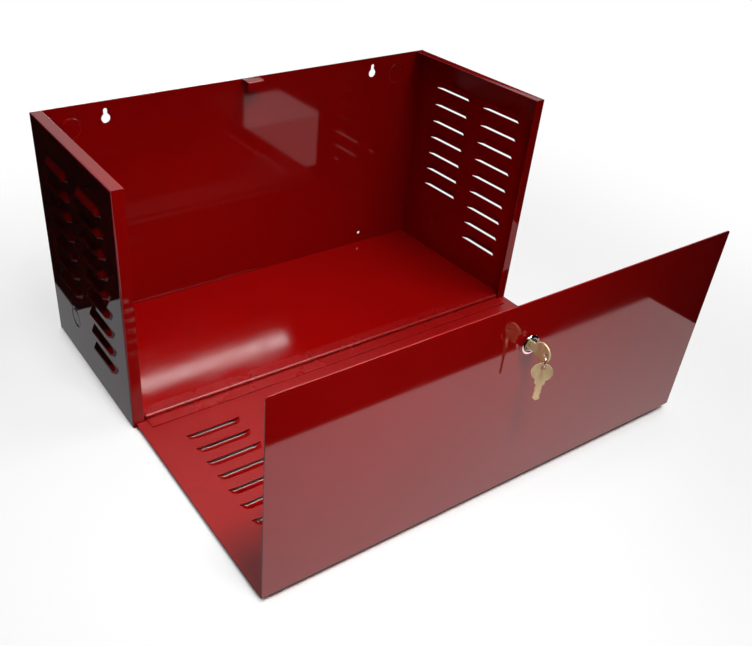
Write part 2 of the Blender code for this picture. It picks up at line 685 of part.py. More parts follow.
def make_lock_cam():
    """Flat cam on the plug's square tail; at rest it points along the hinge."""
    tip = CAM_REACH - CAM_TIP_RADIUS
    lean = math.acos((CAM_HUB_RADIUS - CAM_TIP_RADIUS) / tip)
    outline = arc((0, 0), CAM_HUB_RADIUS, lean, 2 * math.pi - lean, SMALL_SIDES)
    outline += arc((tip, 0), CAM_TIP_RADIUS, -lean, lean, SMALL_SIDES // 2)
    half = PLUG_TAIL / 2 + PLUG_GAP
    hole = [(-half, -half), (half, -half), (half, half), (-half, half)]
    cam = add_object("lock_cam", flat_plate("lock_cam", [outline, hole], CAM),
                     zinc_plate("lock_cam"), lock_axis)
    cam.matrix_basis = lock_frame @ Matrix.Translation((0, 0, CAM_FACE - CAM / 2))
    top = TAIL_END - SEAM_GAP
    under = top - WASHER
    bore = SCREW_RADIUS + PLUG_GAP
    turned_object("cam_washer", ring_profile(bore, CAM_WASHER_RIM, top, under), True, SMALL_SIDES,
                  zinc_plate("cam_washer"), lock_axis)
    head = under - SEAM_GAP
    profile = [(0, TAIL_END + SCREW_GRIP), (SCREW_RADIUS, TAIL_END + SCREW_GRIP),
               (SCREW_RADIUS, head), (SCREW_HEAD_RADIUS, head),
               (SCREW_HEAD_RADIUS, head - SCREW_HEAD), (0, head - SCREW_HEAD)]
    turned_object("cam_screw", profile, False, SMALL_SIDES, zinc_plate("cam_screw"), lock_axis)


def key_outline():
    """Key seen flat: blade with its cuts, shoulder, and round bow with an eye."""
    half = KEY_BLADE_WIDTH / 2
    step = (KEY_BLADE - KEY_TIP) / (KEY_CUTS + 1)
    cuts = []
    for cut in range(KEY_CUTS):
        middle = -(cut + 1) * step
        depth = KEY_CUT * (1 + cut % 2) / 2
        cuts += [(middle + step / 2, half), (middle + step / 8, half - depth),
                 (middle - step / 8, half - depth)]
    cuts.append((-(KEY_CUTS + 0.5) * step, half))
    nose = [(KEY_TIP - KEY_BLADE, half), (-KEY_BLADE, half - KEY_TIP)]
    upper = cuts + nose
    lower = [(along, -across) for along, across in reversed(upper)]
    lean = math.asin(KEY_SHOULDER / 2 / KEY_BOW_RADIUS)
    shoulder = [(0, -half), (0, -KEY_SHOULDER / 2)]
    bow = arc((BOW_CENTRE, 0), KEY_BOW_RADIUS, lean - math.pi, math.pi - lean, ROUND_SIDES)
    shoulder_up = [(0, KEY_SHOULDER / 2), (0, half)]
    eye = arc((KEY_EYE, 0), KEY_HOLE / 2, 0, 2 * math.pi, SMALL_SIDES)[:-1]
    return [upper + lower + shoulder + bow + shoulder_up, eye]


def make_keys():
    """One key in the plug, and a spare that hangs from it on a wire ring."""
    key = add_object("key", flat_plate("key", key_outline(), KEY), brass_plate("key"), key_axis)
    upright = Matrix.Rotation(-QUARTER, 4, "Y")
    key.matrix_basis = lock_frame @ Matrix.Translation((0, 0, KEY_STOP)) @ upright
    spare = add_object("spare_key", flat_plate("spare_key", key_outline(), KEY),
                       brass_plate("spare_key"), spare_axis)
    hang = Matrix.Rotation(QUARTER, 4, "X") @ Matrix.Rotation(QUARTER, 4, "Z")
    faced = Matrix.Translation(SPARE_EYE) @ Matrix.Rotation(-RING_YAW, 4, "Z")
    spare.matrix_basis = faced @ hang @ Matrix.Translation((-KEY_EYE, 0, 0))
    wire = bpy.data.curves.new("key_ring", "CURVE")
    wire.dimensions = "3D"
    wire.bevel_depth = RING_WIRE / 2
    wire.bevel_resolution = RING_WIRE_SIDES // 2 - 2
    spline = wire.splines.new("POLY")
    spline.points.add(ROUND_SIDES - 1)
    for spot, point in zip(spline.points, arc((0, 0), RING_RADIUS, 0, 2 * math.pi, ROUND_SIDES)):
        spot.co = (point[0], 0, point[1], 1)
    spline.use_cyclic_u = True
    ring = add_object("key_ring", wire, zinc_plate("key_ring"), ring_axis)
    ring.matrix_basis = Matrix.Translation(RING_CENTRE) @ Matrix.Rotation(RING_YAW, 4, "Z")


clear_scene()
parts = new_collection("alarm_cabinet")
cutters = new_collection("cutters")
root = pivot("cabinet_origin", Vector((0, 0, 0)))
cover_axis = pivot("cover_axis", Vector((0, HINGE_Y, HINGE_Z)), root)
lock_axis = pivot("lock_axis", LOCK_POINT, cover_axis)
key_axis = pivot("key_axis", LOCK_POINT, lock_axis)
ring_axis = pivot("ring_axis", EYE_POINT, key_axis)
spare_axis = pivot("spare_axis", SPARE_EYE, ring_axis)
lock_frame = Matrix.Translation(LOCK_POINT) @ Matrix.Rotation(QUARTER, 4, "X")
make_back()
make_side("left_side", -1)
make_side("right_side", 1)
make_floor_pan()
make_strike()
make_knockouts()
make_hinge()
make_cover()
make_lock_housing()
make_lock_fixings()
make_lock_plug()
make_lock_cam()
make_keys()
root.location = SHIFT
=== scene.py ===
import math

import bmesh
import bpy
from mathutils import Matrix, Vector


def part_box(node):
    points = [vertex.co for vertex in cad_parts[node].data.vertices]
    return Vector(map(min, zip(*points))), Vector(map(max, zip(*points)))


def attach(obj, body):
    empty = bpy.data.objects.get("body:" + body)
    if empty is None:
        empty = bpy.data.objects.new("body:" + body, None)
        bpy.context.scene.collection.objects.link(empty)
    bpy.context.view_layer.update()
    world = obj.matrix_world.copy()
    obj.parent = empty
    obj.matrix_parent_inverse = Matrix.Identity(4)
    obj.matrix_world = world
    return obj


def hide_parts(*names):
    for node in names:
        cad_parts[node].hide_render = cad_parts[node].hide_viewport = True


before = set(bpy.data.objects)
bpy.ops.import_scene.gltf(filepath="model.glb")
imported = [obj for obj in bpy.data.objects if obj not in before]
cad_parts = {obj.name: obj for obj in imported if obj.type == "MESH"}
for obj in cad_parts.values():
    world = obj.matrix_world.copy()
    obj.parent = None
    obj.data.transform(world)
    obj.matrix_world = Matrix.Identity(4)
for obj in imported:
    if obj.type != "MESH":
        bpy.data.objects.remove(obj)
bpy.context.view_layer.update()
bpy.context.scene.view_settings.view_transform = "Standard"
print("frame loaded:", len(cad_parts), "nodes")

cabinet = {
    "width": 0.610,
    "depth": 0.254,
    "height": 0.310,
    "sheet": 0.0015,
    "flange": 0.015,
    "foldRadius": 0.0024,
    "foldStrip": 0.004,
    "holeStrip": 0.001,
    "edgeRound": 0.0003,
    "weldGap": 0.00003,
}
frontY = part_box("back_panel")[1].y - cabinet["depth"]  # the CAD places the side flanges' front here
mergeDistance = 0.000005
sharpAngle = math.radians(38)
lineDepth = 0.00003
backInner = cabinet["depth"] - cabinet["sheet"]
upX = Vector((1, 0, 0))
upY = Vector((0, 1, 0))
upZ = Vector((0, 0, 1))


def at(x, y, z):
    return Vector((x, y + frontY, z))


# Shared shader groups

def newGroup(name, inputs, outputs):
    group = bpy.data.node_groups.new(name, "ShaderNodeTree")
    for label, kind, start in inputs:
        socket = group.interface.new_socket(label, in_out="INPUT", socket_type=kind)
        if start is not None:
            socket.default_value = start
    for label, kind in outputs:
        group.interface.new_socket(label, in_out="OUTPUT", socket_type=kind)
    return group, group.nodes.new("NodeGroupInput"), group.nodes.new("NodeGroupOutput")


def addNoise(tree, vector, scale, detail, roughness=0.55):
    noise = tree.nodes.new("ShaderNodeTexNoise")
    noise.inputs["Detail"].default_value = detail
    noise.inputs["Roughness"].default_value = roughness
    tree.links.new(vector, noise.inputs["Vector"])
    if isinstance(scale, (int, float)):
        noise.inputs["Scale"].default_value = scale
    else:
        tree.links.new(scale, noise.inputs["Scale"])
    return noise.outputs["Fac"]


def addRange(tree, value, fromLow, fromHigh, toLow=0.0, toHigh=1.0):
    node = tree.nodes.new("ShaderNodeMapRange")
    node.interpolation_type = "SMOOTHSTEP"
    for label, number in (("From Min", fromLow), ("From Max", fromHigh), ("To Min", toLow), ("To Max", toHigh)):
        if isinstance(number, (int, float)):
            node.inputs[label].default_value = number
        else:
            tree.links.new(number, node.inputs[label])
    tree.links.new(value, node.inputs["Value"])
    return node.outputs["Result"]


def addMath(tree, operation, first, second):
    node = tree.nodes.new("ShaderNodeMath")
    node.operation = operation
    for socket, value in zip(node.inputs, (first, second)):
        if isinstance(value, (int, float)):
            socket.default_value = value
        else:
            tree.links.new(value, socket)
    return node.outputs["Value"]


def addMix(tree, factor, first, second):
    node = tree.nodes.new("ShaderNodeMix")
    node.data_type = "RGBA"
    tree.links.new(factor, node.inputs["Factor"])
    for label, colour in (("A", first), ("B", second)):
        socket = [s for s in node.inputs if s.name == label and s.type == "RGBA"][0]
        if isinstance(colour, tuple):
            socket.default_value = (*colour, 1)
        else:
            tree.links.new(colour, socket)
    return [s for s in node.outputs if s.type == "RGBA"][0]


def addAxis(tree, vector, axis):
    node = tree.nodes.new("ShaderNodeSeparateXYZ")
    tree.links.new(vector, node.inputs["Vector"])
    return node.outputs[axis]


def makeCoatGroup():
    # sprayed coat: slow colour drift, orange peel, handling marks
    group, start, end = newGroup(
        "sprayedCoat",
        (("Vector", "NodeSocketVector", None), ("Peel Scale", "NodeSocketFloat", 420.0),
         ("Smudge Scale", "NodeSocketFloat", 9.0)),
        (("Tone", "NodeSocketFloat"), ("Smudge", "NodeSocketFloat"), ("Peel", "NodeSocketFloat")))
    vector = start.outputs["Vector"]
    drift = addNoise(group, vector, 6.0, 3.0)
    fleck = addNoise(group, vector, 900.0, 1.0)
    tone = addMath(group, "ADD", addMath(group, "MULTIPLY", drift, 0.75), addMath(group, "MULTIPLY", fleck, 0.25))
    group.links.new(addRange(group, tone, 0.3, 0.7), end.inputs["Tone"])
    smudge = addNoise(group, vector, start.outputs["Smudge Scale"], 5.0, 0.62)
    group.links.new(addRange(group, smudge, 0.42, 0.72), end.inputs["Smudge"])
    group.links.new(addNoise(group, vector, start.outputs["Peel Scale"], 2.0, 0.45), end.inputs["Peel"])
    return group


def makeBrushGroup():
    # metal worked in one direction: fine lines, slow clouds, a few scratches
    group, start, end = newGroup(
        "workedMetal",
        (("Vector", "NodeSocketVector", None), ("Cloud Scale", "NodeSocketFloat", 120.0),
         ("Line Scale", "NodeSocketFloat", 900.0)),
        (("Cloud", "NodeSocketFloat"), ("Lines", "NodeSocketFloat"), ("Scratch", "NodeSocketFloat")))
    vector = start.outputs["Vector"]
    group.links.new(addRange(group, addNoise(group, vector, start.outputs["Cloud Scale"], 4.0), 0.35, 0.68),
                    end.inputs["Cloud"])
    group.links.new(addNoise(group, vector, start.outputs["Line Scale"], 2.0), end.inputs["Lines"])
    turned = group.nodes.new("ShaderNodeMapping")
    turned.inputs["Rotation"].default_value = (0.4, 0.7, 0.3)
    turned.inputs["Scale"].default_value = (1.0, 9.0, 1.0)
    group.links.new(vector, turned.inputs["Vector"])
    scratchScale = addMath(group, "MULTIPLY", start.outputs["Line Scale"], 0.3)
    scratch = addNoise(group, turned.outputs["Vector"], scratchScale, 3.0)
    group.links.new(addRange(group, scratch, 0.6, 0.68), end.inputs["Scratch"])
    return group


coatGroup = makeCoatGroup()
brushGroup = makeBrushGroup()


def startMaterial(name, group, stretch=(1, 1, 1)):
    material = bpy.data.materials.new(name)
    material.use_nodes = True
    tree = material.node_tree
    shader = tree.nodes["Principled BSDF"]
    place = tree.nodes.new("ShaderNodeTexCoord")
    lay = tree.nodes.new("ShaderNodeMapping")
    lay.inputs["Scale"].default_value = stretch
    tree.links.new(place.outputs["Object"], lay.inputs["Vector"])
    effect = tree.nodes.new("ShaderNodeGroup")
    effect.node_tree = group
    tree.links.new(lay.outputs["Vector"], effect.inputs["Vector"])
    return material, tree, shader, effect


def addBump(tree, shader, height, strength, distance):
    bump = tree.nodes.new("ShaderNodeBump")
    bump.inputs["Strength"].default_value = strength
    bump.inputs["Distance"].default_value = distance
    tree.links.new(height, bump.inputs["Height"])
    tree.links.new(bump.outputs["Normal"], shader.inputs["Normal"])


redCoatLook = {
    "deep": (0.285, 0.0014, 0.0013),
    "bright": (0.325, 0.0022, 0.0020),
    "gloss": 0.045,
    "smudged": 0.075,
    "ior": 1.58,
    "peelStrength": 0.10,
    "peelDistance": 0.00006,
}
# thicker and duller on the hinge, and inside the cover beside it
hingeCoatLook = {**redCoatLook, "gloss": 0.27, "smudged": 0.31, "peelStrength": 0.25}
coverCoatLook = {**redCoatLook, "dull": 0.29, "dullSpan": (-0.13, -0.08), "facing": (0.3, 0.7)}


def makeRedCoat(name, look):
    material, tree, shader, effect = startMaterial(name, coatGroup)
    shader.inputs["IOR"].default_value = look["ior"]
    tree.links.new(addMix(tree, effect.outputs["Tone"], look["deep"], look["bright"]), shader.inputs["Base Color"])
    rough = addRange(tree, effect.outputs["Smudge"], 0.0, 1.0, look["gloss"], look["smudged"])
    if "dull" in look:
        place = tree.nodes.new("ShaderNodeTexCoord")
        near = addRange(tree, addAxis(tree, place.outputs["Object"], "Y"), *look["dullSpan"])
        inside = addRange(tree, addAxis(tree, place.outputs["Normal"], "Z"), *look["facing"])
        rough = addRange(tree, addMath(tree, "MULTIPLY", near, inside), 0.0, 1.0, rough, look["dull"])
    tree.links.new(rough, shader.inputs["Roughness"])
    addBump(tree, shader, effect.outputs["Peel"], look["peelStrength"], look["peelDistance"])
    return material


metalLooks = {
    "polishedChrome": {"dark": (0.66, 0.67, 0.68), "light": (0.82, 0.82, 0.82), "rough": (0.05, 0.13),
                       "stretch": (1, 1, 1), "cloud": 160.0, "lines": 1500.0, "bump": 0.02, "metal": 1.0},
    "zincPlate": {"dark": (0.44, 0.45, 0.47), "light": (0.64, 0.64, 0.62), "rough": (0.24, 0.44),
                  "stretch": (1, 1, 1), "cloud": 220.0, "lines": 1800.0, "bump": 0.12, "metal": 1.0},
    "ringWire": {"dark": (0.50, 0.50, 0.50), "light": (0.74, 0.74, 0.73), "rough": (0.14, 0.28),
                 "stretch": (1, 1, 1), "cloud": 300.0, "lines": 2200.0, "bump": 0.06, "metal": 1.0},
    "keyBrass": {"dark": (0.70, 0.56, 0.27), "light": (0.92, 0.81, 0.48), "rough": (0.32, 0.48),
                 "stretch": (1.0, 1.0, 0.18), "cloud": 130.0, "lines": 2400.0, "bump": 0.10, "metal": 0.5},
}


def makeMetal(name):
    look = metalLooks[name]
    material, tree, shader, effect = startMaterial(name, brushGroup, look["stretch"])
    effect.inputs["Cloud Scale"].default_value = look["cloud"]
    effect.inputs["Line Scale"].default_value = look["lines"]
    shader.inputs["Metallic"].default_value = look["metal"]
    tone = addMix(tree, effect.outputs["Cloud"], look["dark"], look["light"])
    tree.links.new(addMix(tree, effect.outputs["Scratch"], tone, look["light"]), shader.inputs["Base Color"])
    worn = addMath(tree, "ADD", addMath(tree, "MULTIPLY", effect.outputs["Lines"], 0.6),
                   addMath(tree, "MULTIPLY", effect.outputs["Scratch"], 0.4))
    tree.links.new(addRange(tree, worn, 0.2, 0.7, *look["rough"]), shader.inputs["Roughness"])
    addBump(tree, shader, effect.outputs["Lines"], look["bump"], lineDepth)
    return material


redCoat = makeRedCoat("redPowderCoat", redCoatLook)
hingeCoat = makeRedCoat("hingePowderCoat", hingeCoatLook)
coverCoat = makeRedCoat("coverPowderCoat", coverCoatLook)
chrome = makeMetal("polishedChrome")
zinc = makeMetal("zincPlate")
ringSteel = makeMetal("ringWire")
brass = makeMetal("keyBrass")
print("materials made")


# Mesh helpers

def addLoop(bm, points):
    corners = [bm.verts.new(point) for point in points]
    return [bm.edges.new(pair) for pair in zip(corners, corners[1:] + corners[:1])]


def addCircle(bm, matrix, radius, sides):
    ring = set(bmesh.ops.create_circle(bm, segments=sides, radius=radius, matrix=matrix)["verts"])
    return [edge for edge in bm.edges if set(edge.verts) <= ring]


def faceOn(origin, along, across):
    matrix = Matrix((along, across, along.cross(across))).transposed().to_4x4()
    matrix.translation = origin
    return matrix


def arc(middle, radius, start, end, steps):
    turns = [start + (end - start) * step / steps for step in range(steps + 1)]
    return [(middle[0] + radius * math.cos(t), middle[1] + radius * math.sin(t)) for t in turns]


def onlyEdges(items):
    return [item for item in items if isinstance(item, bmesh.types.BMEdge)]


def onlyVerts(items):
    return [item for item in items if isinstance(item, bmesh.types.BMVert)]


def drawOut(bm, edges, step):
    grown = bmesh.ops.extrude_edge_only(bm, edges=edges)["geom"]
    bmesh.ops.translate(bm, verts=onlyVerts(grown), vec=step)
    return onlyEdges(grown)


def insetPoints(points, margin):
    # an outline moved inwards by a margin, or outwards by a negative one
    turns = zip(points, points[1:] + points[:1])
    area = sum(a[0] * b[1] - b[0] * a[1] for a, b in turns)
    margin = math.copysign(1, area) * margin
    moved = []
    for before, here, after in zip(points[-1:] + points[:-1], points, points[1:] + points[:1]):
        first = (Vector(here) - Vector(before)).normalized()
        second = (Vector(after) - Vector(here)).normalized()
        normals = (Vector((-first.y, first.x)), Vector((-second.y, second.x)))
        push = (normals[0] + normals[1]) / (1 + normals[0].dot(normals[1]))
        moved.append(tuple(Vector(here) + push * margin))
    return moved


def growLoop(bm, edges, moves):
    # a strip of four-sided faces from one loop to another
    grown = bmesh.ops.extrude_edge_only(bm, edges=edges)["geom"]
    for corner in onlyVerts(grown):
        corner.co = min(moves, key=lambda move: (corner.co - move[0]).length)[1]


def fillFlat(bm, matrix, outline, holes, margin, holeMargin, extra=()):
    # a flat sheet with holes, edged all round by a strip that can be bent or rounded
    loops = [(outline, insetPoints(outline, margin))]
    loops += [(hole, insetPoints(hole, -holeMargin)) for hole in holes]
    edges = list(extra)
    strips = []
    for rim, inner in loops:
        rim = [matrix @ Vector((*point, 0)) for point in rim]
        inner = [matrix @ Vector((*point, 0)) for point in inner]
        loop = addLoop(bm, inner)
        strips.append((loop, list(zip(inner, rim))))
        edges += loop
    bmesh.ops.triangle_fill(bm, edges=edges, use_beauty=True)
    for loop, moves in strips:
        growLoop(bm, loop, moves)


def circlePoints(middle, radius, sides):
    return arc(middle, radius, 0, 2 * math.pi, sides)[:-1]


def edgesAlong(bm, first, second):
    # edges on the straight line between two points
    line = second - first
    found = []
    for edge in bm.edges:
        offsets = [line.cross(corner.co - first).length / line.length for corner in edge.verts]
        shares = [(corner.co - first).dot(line) / line.length_squared for corner in edge.verts]
        if max(offsets) < 1e-6 and min(shares) > -1e-4 and max(shares) < 1 + 1e-4:
            found.append(edge)
    return found


def roundOff(bm, edges, radius, segments=6):
    bmesh.ops.bevel(bm, geom=edges, offset=radius, offset_type="OFFSET", segments=segments,
                    profile=0.5, affect="EDGES", material=-1, clamp_overlap=False)


def mergeAll(bm):
    bmesh.ops.remove_doubles(bm, verts=bm.verts, dist=mergeDistance)
    bmesh.ops.recalc_face_normals(bm, faces=bm.faces)


def placePiece(mesh, name, body, node, material):
    mesh.materials.clear()
    mesh.materials.append(material)
    mesh.polygons.foreach_set("use_smooth", [True] * len(mesh.polygons))
    mesh.set_sharp_from_angle(angle=sharpAngle)
    piece = bpy.data.objects.new(name, mesh)
    bpy.context.scene.collection.objects.link(piece)
    even = piece.modifiers.new("evenShading", "WEIGHTED_NORMAL")
    even.keep_sharp = True
    even.weight = 100
    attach(piece, body)
    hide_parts(node)
    return piece


def bmPiece(bm, name, body, node, material):
    mesh = bpy.data.meshes.new(name)
    bm.to_mesh(mesh)
    bm.free()
    return placePiece(mesh, name, body, node, material)


def sheetPiece(bm, name, body, node, outward, thickness, coat=redCoat):
    # an open skin becomes a sheet that grows inwards, with softened rims
    mergeAll(bm)
    facing = max(bm.faces, key=lambda face: face.calc_area() * abs(face.normal.dot(outward)))
    if facing.normal.dot(outward) < 0:
        bmesh.ops.reverse_faces(bm, faces=bm.faces)
    skin = bpy.data.meshes.new(name + "Skin")
    bm.to_mesh(skin)
    bm.free()
    holder = bpy.data.objects.new(name + "Skin", skin)
    bpy.context.scene.collection.objects.link(holder)
    wall = holder.modifiers.new("sheet", "SOLIDIFY")
    wall.thickness = thickness
    wall.offset = -1
    wall.use_even_offset = True
    wall.use_quality_normals = True
    wall.material_offset_rim = 1
    skin.materials.append(redCoat)
    skin.materials.append(redCoat)
    graph = bpy.context.evaluated_depsgraph_get()
    mesh = bpy.data.meshes.new_from_object(holder.evaluated_get(graph))
    bpy.data.objects.remove(holder, do_unlink=True)
    bm = bmesh.new()
    bm.from_mesh(mesh)
    rims = []
    for edge in bm.edges:
        kinds = sorted(face.material_index for face in edge.link_faces)
        if kinds == [0, 1] and all(len(face.verts) == 4 for face in edge.link_faces):
            rims.append(edge)
    roundOff(bm, rims, cabinet["edgeRound"], 2)
    for face in bm.faces:
        face.material_index = 0
    bm.to_mesh(mesh)
    bm.free()
    mesh.name = name
    return placePiece(mesh, name, body, node, coat)


# Louvres: a pressed hood with an open lip

louvre = {
    "length": 0.072,
    "depth": 0.011,
    "rise": 0.005,
    "end": 0.009,
    "roundEnd": 0.0085,
    "slit": 0.0009,
    "pitch": 0.026,
    "endSteps": 8,
    "middleSteps": 6,
    "rowSteps": 9,
    "shoulder": 1.45,
}


def louvreStation(column, columns):
    steps = louvre["endSteps"]
    inward = min(column, columns - column)
    if inward < steps:
        offset = louvre["length"] / 2 - louvre["end"] * inward / steps
        offset *= -1 if column < columns - column else 1
        share = inward / steps
        return offset, math.sin(share * math.pi / 2) ** louvre["shoulder"]
    straight = louvre["length"] - 2 * louvre["end"]
    return straight * ((column - steps) / louvre["middleSteps"] - 0.5), 1.0


def addLouvre(bm, matrix, outward, along, lip):
    columns = louvre["middleSteps"] + 2 * louvre["endSteps"]
    rows = louvre["rowSteps"]
    grid = bmesh.ops.create_grid(bm, x_segments=columns, y_segments=rows, size=1)
    fixed = set()
    lipEnds = {}
    for corner in grid["verts"]:
        column = round((corner.co.x + 1) / 2 * columns)
        row = round((corner.co.y + 1) / 2 * rows)
        offset, share = louvreStation(column, columns)
        share *= math.cos(math.pi / 2 * row / rows) ** louvre["shoulder"]
        drawnIn = louvre["roundEnd"] * (1 - math.sqrt(1 - (row / rows) ** 2))
        offset *= 1 - 2 * drawnIn / louvre["length"]
        corner.co = matrix @ Vector((along + offset, lip + louvre["depth"] * row / rows, 0))
        corner.co += outward * louvre["rise"] * share
        if column in (0, columns) or row == rows:
            fixed.add(corner)
        if row == 0 and column in (0, columns):
            lipEnds[column] = corner
    rim = {edge for corner in fixed for edge in corner.link_edges}
    joined = [edge for edge in rim if set(edge.verts) <= fixed and len(edge.link_faces) == 1]
    slit = []
    for column in (0, columns):
        offset = louvreStation(column, columns)[0]
        slit.append(bm.verts.new(matrix @ Vector((along + offset, lip - louvre["slit"], 0))))
        joined.append(bm.edges.new((lipEnds[column], slit[-1])))
    joined.append(bm.edges.new(slit))
    return joined


# Side panels

sidePanel = {
    "frontColumn": 0.072,
    "rearColumn": 0.1735,
    "frontRows": 9,
    "rearRows": 7,
    "topRow": 0.0445,
    "knockoutHeight": 0.062,
    "knockoutRadius": 0.0144,
    "holeSides": 64,
}


def makeSide(name, node, hand):
    outward = Vector((hand, 0, 0))
    skin = hand * cabinet["width"] / 2
    rear = backInner - cabinet["weldGap"]
    top = cabinet["height"]
    matrix = faceOn(at(skin, 0, 0), upY, upZ)
    bm = bmesh.new()
    outline = [(0, 0), (rear, 0), (rear, top), (0, top)]
    corners = [matrix @ Vector((*point, 0)) for point in outline]
    edges = []
    for column, rows in (("frontColumn", "frontRows"), ("rearColumn", "rearRows")):
        for row in range(sidePanel[rows]):
            lip = top - sidePanel["topRow"] - louvre["pitch"] * row
            edges += addLouvre(bm, matrix, outward, sidePanel[column], lip)
    knockout = circlePoints((sidePanel["rearColumn"], sidePanel["knockoutHeight"]),
                            sidePanel["knockoutRadius"], sidePanel["holeSides"])
    fillFlat(bm, matrix, outline, [knockout], cabinet["foldStrip"], cabinet["holeStrip"], edges)
    reach = Vector((-hand * cabinet["flange"], 0, 0))
    folds = []
    for first, second in ((0, 3), (3, 2), (0, 1)):
        folds.append((corners[first], corners[second]))
        drawOut(bm, edgesAlong(bm, corners[first], corners[second]), reach)
    bmesh.ops.remove_doubles(bm, verts=bm.verts, dist=mergeDistance)
    bent = [edge for first, second in folds for edge in edgesAlong(bm, first, second)]
    roundOff(bm, bent, cabinet["foldRadius"])
    sheetPiece(bm, name, "cabinet", node, outward, cabinet["sheet"])


makeSide("leftSidePanel", "left_side", -1)
makeSide("rightSidePanel", "right_side", 1)
print("side panels made")


# Back panel

backPanel = {
    "holeIn": 0.095,
    "keyholeDown": 0.0225,
    "keyholeHead": 0.006,
    "keyholeNeck": 0.00275,
    "keyholeLift": 0.013,
    "lowerHoleHeight": 0.022,
    "lowerHole": 0.0025,
    "knockoutIn": 0.049,
    "knockoutDown": 0.029,
    "holeSides": 48,
}


def keyholePoints(side):
    look = backPanel
    head = (side * (cabinet["width"] / 2 - look["holeIn"]), cabinet["height"] - look["keyholeDown"])
    neck = (head[0], head[1] + look["keyholeLift"] - look["keyholeNeck"])
    gap = math.asin(look["keyholeNeck"] / look["keyholeHead"])
    points = arc(head, look["keyholeHead"], math.pi / 2 + gap, 5 * math.pi / 2 - gap, look["holeSides"])
    return points + arc(neck, look["keyholeNeck"], 0, math.pi, look["holeSides"] // 2)


def makeBack():
    look = backPanel
    half = cabinet["width"] / 2
    top = cabinet["height"]
    matrix = faceOn(at(0, cabinet["depth"], 0), upX, upZ)
    bm = bmesh.new()
    outline = [(-half, 0), (half, 0), (half, top), (-half, top)]
    holes = []
    for side in (-1, 1):
        holes.append(keyholePoints(side))
        holes.append(circlePoints((side * (half - look["holeIn"]), look["lowerHoleHeight"]),
                                  look["lowerHole"], look["holeSides"]))
        holes.append(circlePoints((side * (half - look["knockoutIn"]), top - look["knockoutDown"]),
                                  sidePanel["knockoutRadius"], sidePanel["holeSides"]))
    fillFlat(bm, matrix, outline, holes, cabinet["foldStrip"], cabinet["holeStrip"])
    sheetPiece(bm, "backSheet", "cabinet", "back_panel", upY, cabinet["sheet"])


makeBack()
print("back made")


# Knockout slugs: punched discs that still sit in their holes

slug = {
    "radius": 0.01437,
    "groove": 0.0005,
    "ring": 0.0016,
    "sunk": 0.0007,
    "inside": 0.0007,
}


def makeSlug(name, node, middle, outward):
    bm = bmesh.new()
    bmesh.ops.create_cone(bm, cap_ends=True, segments=sidePanel["holeSides"], radius1=slug["radius"],
                          radius2=slug["radius"], depth=cabinet["sheet"])
    rims = [edge for edge in bm.edges if abs(edge.verts[0].co.z - edge.verts[1].co.z) < 1e-6]
    bmesh.ops.bevel(bm, geom=rims, offset=slug["groove"], offset_type="OFFSET", segments=3, profile=0.5,
                    affect="EDGES", material=-1)
    for way, depth in ((1, -slug["sunk"]), (-1, -slug["inside"])):
        caps = [face for face in bm.faces if face.normal.z * way > 0.99 and len(face.verts) > 4]
        for step in (depth, -depth):
            bmesh.ops.inset_individual(bm, faces=caps, thickness=slug["ring"], depth=step, use_even_offset=True)
    turn = faceOn(middle - outward * cabinet["sheet"] / 2, upZ.cross(outward), upZ)
    bmesh.ops.transform(bm, verts=bm.verts, matrix=turn)
    bmPiece(bm, name, "cabinet", node, redCoat)


for side, word in ((-1, "left"), (1, "right")):
    half = cabinet["width"] / 2
    onSide = at(side * half, sidePanel["rearColumn"], sidePanel["knockoutHeight"])
    makeSlug(word + "SideKnockout", "knockout_side_" + word, onSide, Vector((side, 0, 0)))
    onBack = at(side * (half - backPanel["knockoutIn"]), cabinet["depth"],
                cabinet["height"] - backPanel["knockoutDown"])
    makeSlug(word + "BackKnockout", "knockout_back_" + word, onBack, upY)
print("knockouts made")


# Floor pan

floorPan = {
    "top": 0.0065,
    "front": 0.0030,
    "skirt": 0.0048,
    "roll": 0.0030,
}


def makeFloorPan():
    look = floorPan
    half = cabinet["width"] / 2 - cabinet["sheet"] - cabinet["weldGap"]
    rear = backInner - cabinet["weldGap"]
    matrix = faceOn(at(0, 0, look["top"]), upX, upY)
    outline = [(-half, look["front"]), (half, look["front"]), (half, rear), (-half, rear)]
    corners = [matrix @ Vector((*point, 0)) for point in outline]
    bm = bmesh.new()
    fillFlat(bm, matrix, outline, [], cabinet["foldStrip"], cabinet["holeStrip"])
    down = Vector((0, 0, -look["skirt"]))
    folds = [(corners[1], corners[2]), (corners[2], corners[3]), (corners[3], corners[0])]
    for first, second in folds:
        drawOut(bm, edgesAlong(bm, first, second), down)
    bmesh.ops.remove_doubles(bm, verts=bm.verts, dist=mergeDistance)
    folds += [(corners[2], corners[2] + down), (corners[3], corners[3] + down)]
    roundOff(bm, [edge for first, second in folds for edge in edgesAlong(bm, first, second)], look["roll"])
    sheetPiece(bm, "floorSheet", "cabinet", "floor_pan", upZ, cabinet["sheet"])


makeFloorPan()
print("floor pan made")


# Strike

strike = {
    "width": 0.025,
    "reach": 0.017,
    "lip": 0.012,
    "radius": 0.0026,
}


